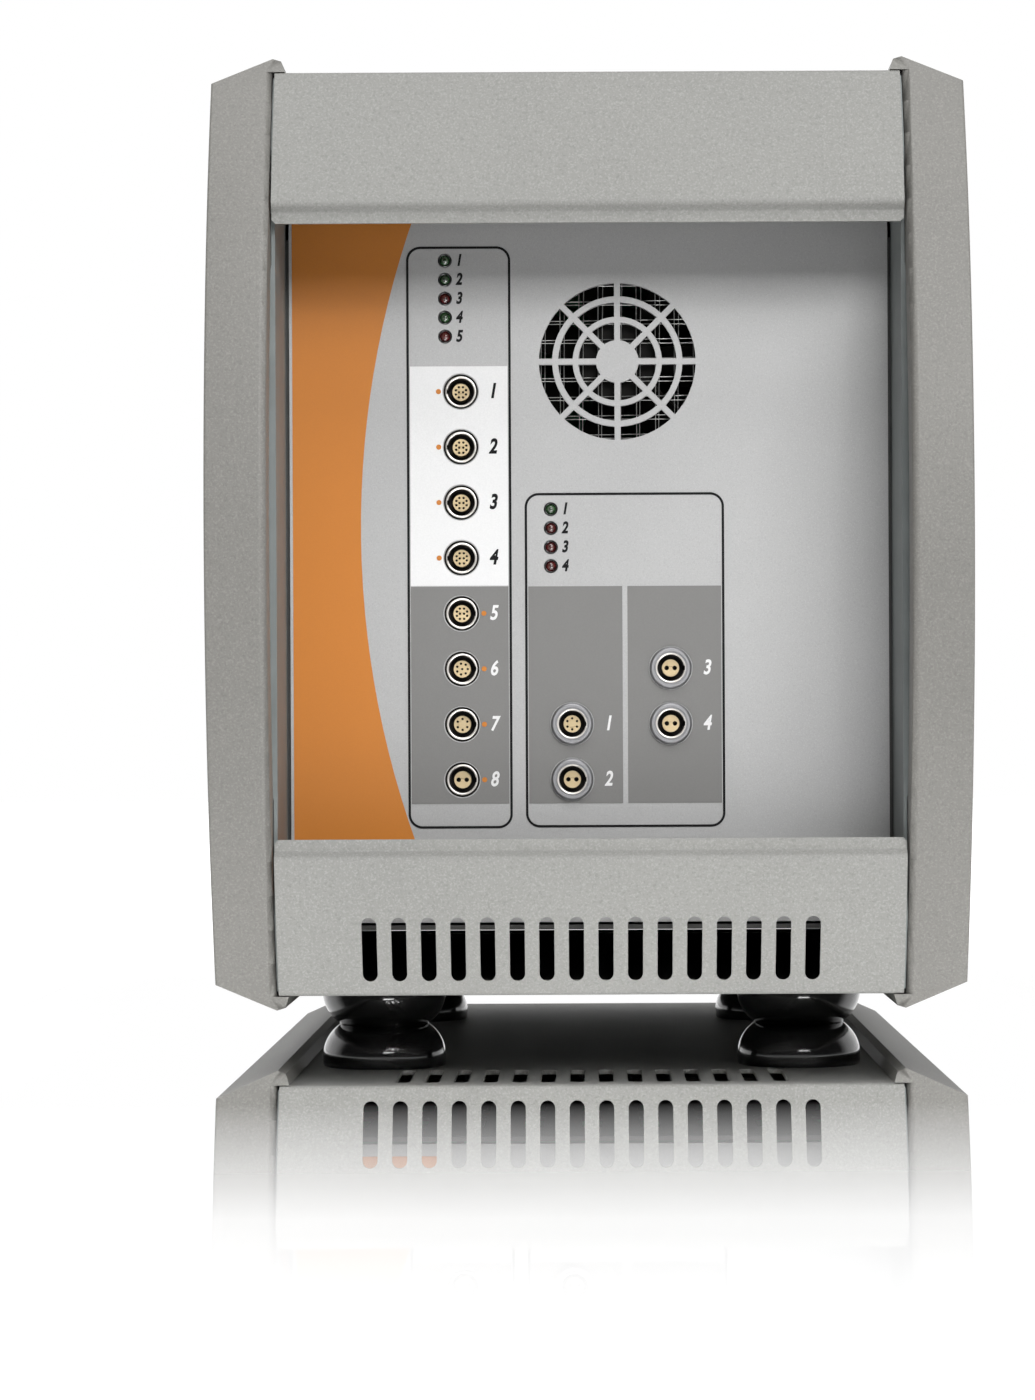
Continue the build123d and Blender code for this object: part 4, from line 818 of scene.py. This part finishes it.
class BuildSockets(bpy.types.Operator):
    """Turns the sockets' shells with their rings, grooves and keyways"""

    bl_idname = "potentiostat.build_sockets"
    bl_label = "Sockets"

    def execute(self, context):
        fitting = context.scene.potentiostat_fitting
        nickel = plated("satin_nickel", fitting.nickel, 0.36)
        dress(nickel, "socket_nuts", "earth_stud", "earth_nut", "inlet_pins")
        self.inserts(fitting)
        groove = fitting.groove
        # Painted shade: the bores' deep metal and the metal under the flanges take a near-black finish
        # instead of the plate
        shaded_bore_finish = moulding("bore_painted_shade", BORE_PAINTED_SHADE, 0.6)
        flange = plated("flange_nickel", fitting.flange, 0.42)
        ring = ((4.95, 0.0), (5.03, -0.08), (5.05, -groove), (5.42, -groove))
        sunk = SOCKET_BORE + SUNK_FLANGE + SOCKET_TAIL
        wide = SOCKET_BORE + ring + WIDE_FLANGE + SOCKET_TAIL
        for node in LEFT_SOCKETS:
            key_side = -1 if node in PALE_LEFT_SOCKETS else 1
            self.shell(node, sunk, key_side, (nickel, shaded_bore_finish))
        for node in RIGHT_SOCKETS:
            self.shell(node, wide, 1, (nickel, shaded_bore_finish, flange))
        return {"FINISHED"}

    def inserts(self, fitting):
        """Tan inserts, with painted shade on the walls of their contact holes behind the insert's face.
        """
        tan = moulding("insert_tan", fitting.tan, 0.45, depth=0.008)
        # Painted shade: a near-black finish for the hole walls behind the insert's face
        dark = moulding("contact_painted_shade", CONTACT_PAINTED_SHADE, 0.5)
        names = LEFT_SOCKETS + RIGHT_SOCKETS
        places = np.array([node_middle(name)[[0, 2]] for name in names])
        faces = np.array([node_box(name)[0][1] + fitting.insert_recess for name in names])

        def in_hole(middles):
            aside = middles[:, None, 0] - places[:, 0]
            out = np.hypot(aside, middles[:, None, 2] - places[:, 1])
            behind = middles[:, 1] > faces[out.argmin(axis=1)] + HOLE_START
            return (out.min(axis=1) < fitting.insert_hole_reach) & behind

        for node in ("signal_inserts", "power_inserts"):
            smooth_copy(node, [tan, dark], CASE, 25.0, in_hole)

    def shell(self, node, profile, key_side, materials):
        """The profile swept round, its bore pushed out by the keyway's depth over its width."""
        front = node_box(node)[0][1]
        middle = node_middle(node)
        points, faces = turned(profile, ROUND_STEPS)
        angle = np.arctan2(points[:, 1], points[:, 0] * key_side)
        radius = np.hypot(points[:, 0], points[:, 1])
        in_wall = (radius > KEYWAY_WALL[0]) & (radius < KEYWAY_WALL[1])
        in_key = (points[:, 2] > -KEYWAY_LENGTH) & (np.abs(angle) < KEYWAY_HALF_ANGLE)
        push = np.where(in_wall & in_key, KEYWAY_RADIUS / radius, 1.0)
        points[:, :2] *= push[:, None]
        placed = facing_front(points, middle[0], front, middle[2])

        def finish_of(middles):
            out = np.hypot(middles[:, 0] - middle[0], middles[:, 2] - middle[2])
            deep = middles[:, 1] - front
            # Painted shade: faces in the mouth deeper than MOUTH_LIT, and faces outside the ring deeper
            # than FLANGE_LIT, take the near-black finish
            shaded_mouth = (out < MOUTH_RADIUS) & (deep > MOUTH_LIT)
            outside = out > RING_RADIUS
            plate = np.where(outside, len(materials) - 1, 0) if len(materials) > 2 else 0
            return np.where(shaded_mouth | (outside & (deep > FLANGE_LIT)), 1, plate)

        name = f"{node}_shell"
        put_piece(name, (placed, faces), materials, CASE, (node,), 25.0, finish_of)


class BuildLamps(bpy.types.Operator):
    """Makes the lamps' clear domes, each in a thin black ring"""

    bl_idname = "potentiostat.build_lamps"
    bl_label = "Lamps"

    def execute(self, context):
        fitting = context.scene.potentiostat_fitting
        panel = context.scene.potentiostat_panel
        black = moulding("lamp_black", LAMP_BLACK, 0.3, 0.3)
        dress(black, "lamp_holders")
        left = lamp_places(panel, panel.pstat_lamps)
        right = lamp_places(panel, panel.booster_lamps)
        green_places = [left[row] for row in GREEN_LEFT_ROWS]
        green_places += [right[row] for row in GREEN_RIGHT_ROWS]
        red_places = [place for place in left + right if place not in green_places]
        front = node_box("front_panel")[0][1]
        profile = [*arc_through(*LAMP_DOME, 9), *LAMP_RING]
        for colour, tint, core, places in (
            ("green", fitting.green, fitting.green_core, green_places),
            ("red", fitting.red, fitting.red_core, red_places),
        ):
            clear = lens(f"{colour}_lens", tint, shade(tint, 0.25))
            middle = lens(f"{colour}_core", core, shade(core, 0.4))
            parts = []
            for x, z in places:
                points, faces = turned(profile, 32)
                parts.append((facing_front(points, x, front, z), faces))

            def finish_of(middles, places=places):
                outs = [np.hypot(middles[:, 0] - x, middles[:, 2] - z) for x, z in places]
                out = np.min(outs, axis=0)
                in_core = (out > CORE_RADII[0]) & (out < CORE_RADII[1])
                return np.where(out > DOME_RADIUS, 2, np.where(in_core, 1, 0))

            materials = (clear, middle, black)
            old = (f"{colour}_lamps",)
            name = f"{colour}_domes"
            put_piece(name, joined(parts), materials, CASE, old, 30.0, finish_of)
        return {"FINISHED"}


class BuildMesh(bpy.types.Operator):
    """Weaves the wire mesh behind the fan outlet"""

    bl_idname = "potentiostat.build_mesh"
    bl_label = "Wire mesh"

    def execute(self, context):
        fitting = context.scene.potentiostat_fitting
        steel = sheet_metal("mesh_steel", MESH_STEEL, 0.35, 0.2, 0.01)
        low, high = node_box("wire_mesh")
        middle = (low + high) / 2
        reach = (high[0] - low[0]) / 2 - fitting.layer_slip - MESH_MARGIN
        pitch = fitting.wire_pitch
        rows = int(reach // pitch)
        along = np.linspace(-reach, reach, 73)
        parts = []
        for layer, lean in ((1, 0.0), (-1, BACK_LAYER_LEAN)):
            depth = layer * fitting.layer_gap / 2
            slip = (1 - layer) / 2 * fitting.layer_slip
            for step in range(-rows, rows + 1):
                side = 1 if step % 2 else -1
                swing = fitting.wire_wave * np.cos(np.pi * along / pitch) * side
                across = step * pitch + slip + lean * along
                level = np.stack([along, across, depth + swing], -1)
                upright = np.stack([across, along, depth - swing], -1)
                parts.append(tube(level, fitting.wire / 2, 8))
                parts.append(tube(upright, fitting.wire / 2, 8))
        points, faces = joined(parts)
        placed = facing_front(points, middle[0], middle[1], middle[2])
        put_piece("woven_mesh", (placed, faces), [steel], CASE, ("wire_mesh",))
        return {"FINISHED"}


class DressInside(bpy.types.Operator):
    """Finishes the fans, the boards, the power supply and the rear fittings"""

    bl_idname = "potentiostat.dress_inside"
    bl_label = "Fans and inside"

    def execute(self, context):
        fan = moulding("fan_black", FAN_BLACK, 0.55, shine=0.12)
        body = moulding("inlet_black", INLET_BLACK, 0.42)
        gloss = moulding("switch_black", SWITCH_BLACK, 0.2, 0.5)
        board = circuit_board("board_green", BOARD_GREEN, TRACK_GREEN)
        sink = sheet_metal("sink_black", SINK_BLACK, 0.4, 0.3, 0.01, (1.0, 0.05, 1.0))
        steel = sheet_metal("plain_steel", PLAIN_STEEL, 0.35, 0.3, 0.01)
        for place in ("front", "rear"):
            smooth_copy(f"{place}_fan_frame", [fan], CASE)
            smooth_copy(f"{place}_fan_rotor", [fan], f"{place}_rotor")
        dress(body, "mains_inlet", "card_guides")
        dress(gloss, "power_rocker", "fuse_drawer")
        dress(board, "pstat_board", "booster_board", "backplane")
        dress(sink, "heat_sink")
        dress(steel, "power_supply", "network_jack")
        return {"FINISHED"}


class BuildRear(bpy.types.Operator):
    """Bends the finger guard's wires and adds the small fittings of the rear panel"""

    bl_idname = "potentiostat.build_rear"
    bl_label = "Rear fittings"

    def execute(self, context):
        rear = context.scene.potentiostat_rear
        low, high = node_box("rear_panel")
        out = high[1]
        bright = sheet_metal("guard_wire", GUARD_STEEL, 0.22, 0.3, 0.004)
        zinc = sheet_metal("screw_plate", SCREW_PLATE, 0.26, 0.3, 0.008)
        self.guard(rear, bright, out)
        inset_x, inset_z = rear.screw_inset
        rises = (low[2] + inset_z, (low[2] + high[2]) / 2, high[2] - inset_z)
        heads = [(side * (high[0] - inset_x), out, rise) for side in (-1, 1) for rise in rises]
        plate_low, plate_high = node_box("mains_inlet")
        middle = (plate_low + plate_high) / 2
        plate_side = (plate_high[0] - plate_low[0]) / 2 - rear.inlet_screw_inset
        heads += [(middle[0] + side * plate_side, plate_high[1], middle[2]) for side in (-1, 1)]
        parts = []
        for x, y, z in heads:
            points, faces = cross_head(rear.screw_radius, rear.screw_height)
            parts.append((facing_back(points, x, y, z), faces))
        put_piece("rear_screw_heads", joined(parts), [zinc], CASE, (), 30.0)
        self.contacts()
        self.cords(low, high)
        return {"FINISHED"}

    def guard(self, rear, material, out):
        """Round rings over two crossed wires that end in an eye round each of the fan's screws."""
        low, high = node_box("fan_guard")
        middle = (low + high) / 2
        wire = rear.wire_radius
        lift = high[1] - out - wire
        outer_ring = rear.ring_step * rear.ring_count
        parts = []
        for ring in range(1, rear.ring_count + 1):
            path = circle(rear.ring_step * ring, lift, ROUND_STEPS)
            parts.append(tube(path, wire, 10, True))
        reach = (high[0] - low[0]) / 2 - rear.eye_radius - wire
        along = np.linspace(-1, 1, 61) * (reach * math.sqrt(2) - rear.eye_radius)
        over = np.clip((np.abs(along) - outer_ring) / WIRE_RISE_LENGTH, 0, 1)
        height = lift - WIRES_APART * wire * (1 - over)
        diagonal = along / math.sqrt(2)
        inner, edge, outer = POST_RADII
        top = lift - wire
        post = [(inner, 0.0), (edge, 0.0), (outer, POST_EDGE), (outer, top - POST_EDGE)]
        post += [(edge, top), (inner, top), (inner, 0.0)]
        for lean in (1, -1):
            parts.append(tube(np.stack([diagonal, lean * diagonal, height], -1), wire, 10))
            for side in (-1, 1):
                x = side * reach
                y = side * lean * reach
                parts.append(tube(circle(rear.eye_radius, lift, 40, x, y), wire, 8, True))
                points, faces = turned(post, 32)
                parts.append((points + [x, y, 0.0], faces))
        points, faces = joined(parts)
        shape = (facing_back(points, middle[0], out, middle[2]), faces)
        put_piece("guard_wires", shape, [material], CASE, ("fan_guard",), 30.0)

    def contacts(self):
        """Eight sprung wires that slope back into the jack's mouth from its upper edge."""
        gold = sheet_metal("contact_gold", CONTACT_GOLD, 0.25, 0.2, 0.003)
        low, high = node_box("network_jack")
        x = (low[0] + high[0]) / 2
        z = (low[2] + high[2]) / 2 + 0.5
        slope = np.linspace(0, 1, 12)
        parts = []
        for step in range(JACK_CONTACTS):
            aside = (step - (JACK_CONTACTS - 1) / 2) * CONTACT_PITCH
            across = np.full(12, x + aside)
            path = np.stack([across, high[1] - 2.5 - 8.0 * slope, z + 3.2 - 2.6 * slope**0.7], -1)
            parts.append(tube(path, CONTACT_WIRE, 8))
        put_piece("jack_contacts", joined(parts), [gold], CASE)

    def cords(self, low, high):
        """Round rubber cords that close the gaps above and below the rear panel."""
        rubber = moulding("seal_rubber", SEAL_BLACK, 0.7)
        cover_top = node_box("left_side_wall")[0][2]
        radius = (low[2] - cover_top) / 2
        across = np.linspace(low[0] + 0.3, high[0] - 0.3, 41)
        parts = []
        for z in (low[2] - radius, high[2] + radius):
            path = np.stack([across, np.full(41, high[1] - CORD_SET_BACK), np.full(41, z)], -1)
            parts.append(tube(path, radius * 0.98, 12))
        put_piece("seal_cords", joined(parts), [rubber], CASE)


class BuildFeet(bpy.types.Operator):
    """Turns the four glossy bowls that the case stands on"""

    bl_idname = "potentiostat.build_feet"
    bl_label = "Feet"

    def execute(self, context):
        case = context.scene.potentiostat_case
        black = moulding("foot_gloss", case.foot_black, 0.16, 1.0, 0.8, 0.003)
        profile = [*FOOT_TOP, *arc_through(*FOOT_BOWL, 22), *FOOT_SOLE]
        for node in ("front_left_foot", "front_right_foot", "rear_left_foot", "rear_right_foot"):
            x, y, z = node_middle(node)
            points, faces = turned(profile, ROUND_STEPS)
            shape = (points + [x, y, 0.0], faces)
            put_piece(f"{node}_bowl", shape, [black], CASE, (node,), 40.0)
        return {"FINISHED"}


class BuildStage(bpy.types.Operator):
    """Lays the floor, hangs the soft lights and sets the camera"""

    bl_idname = "potentiostat.build_stage"
    bl_label = "Stage"

    def execute(self, context):
        stage = context.scene.potentiostat_stage
        half = FLOOR_HALF
        corners = [(-half, -half, 0), (half, -half, 0), (half, half, 0), (-half, half, 0)]
        mesh = bpy.data.meshes.new("floor")
        mesh.from_pydata(corners, [], [(0, 1, 2, 3)])
        mesh.materials.append(pale_floor("pale_floor", stage.floor, stage.floor_roughness))
        linked("floor", mesh)
        context.scene.world = studio_world("studio", stage.front_share)
        context.scene.view_settings.view_transform = "Standard"
        for light in LIGHTS:
            self.light(*light)
        lens_data = bpy.data.cameras.new("camera")
        lens_data.lens = stage.focal
        lens_data.sensor_width = SENSOR_WIDTH
        lens_data.shift_x = stage.shift[0]
        lens_data.shift_y = stage.shift[1]
        camera = linked("camera", lens_data)
        front = node_box("right_cheek")[0][1]
        y = (front - stage.distance) * MILLIMETRE
        turn = Matrix.Rotation(math.radians(90), 4, "X") @ Matrix.Rotation(stage.roll, 4, "Z")
        camera.matrix_world = Matrix.Translation((0, y, stage.height * MILLIMETRE)) @ turn
        context.scene.camera = camera
        return {"FINISHED"}

    def light(self, name, place, aim, size, power):
        """A soft rectangle of light that looks from its place at its aim."""
        data = bpy.data.lights.new(name, "AREA")
        data.shape = "RECTANGLE"
        data.size, data.size_y = size
        data.energy = power
        lamp = linked(name, data)
        lamp.location = place
        lamp.visible_camera = False
        direction = Vector(aim) - Vector(place)
        lamp.rotation_euler = direction.to_track_quat("-Z", "Y").to_euler()


class PotentiostatPanel(bpy.types.Panel):
    """Lists the pieces and their settings"""

    bl_idname = "VIEW3D_PT_potentiostat"
    bl_label = "Potentiostat"
    bl_space_type = "VIEW_3D"
    bl_region_type = "UI"
    bl_category = "Potentiostat"

    def draw(self, context):
        for operator in OPERATORS:
            self.layout.operator(operator.bl_idname)
        for name in SETTINGS:
            settings = getattr(context.scene, name)
            box = self.layout.box()
            for key in settings.__annotations__:
                box.prop(settings, key)


OPERATORS = (
    BuildStage,
    DressCase,
    DressPanel,
    BuildSockets,
    BuildLamps,
    BuildMesh,
    DressInside,
    BuildRear,
    BuildFeet,
)
SETTINGS = {
    "potentiostat_case": CaseSettings,
    "potentiostat_panel": PanelSettings,
    "potentiostat_fitting": FittingSettings,
    "potentiostat_rear": RearSettings,
    "potentiostat_stage": StageSettings,
}


def register():
    for kind in (*SETTINGS.values(), *OPERATORS, PotentiostatPanel):
        bpy.utils.register_class(kind)
    for name, kind in SETTINGS.items():
        setattr(bpy.types.Scene, name, bpy.props.PointerProperty(type=kind))


def unregister():
    for name in SETTINGS:
        delattr(bpy.types.Scene, name)
    for kind in (PotentiostatPanel, *reversed(OPERATORS), *SETTINGS.values()):
        bpy.utils.unregister_class(kind)


def main():
    register()
    for operator in OPERATORS:
        group, name = operator.bl_idname.split(".")
        getattr(getattr(bpy.ops, group), name)()


if __name__ == "__main__":
    main()
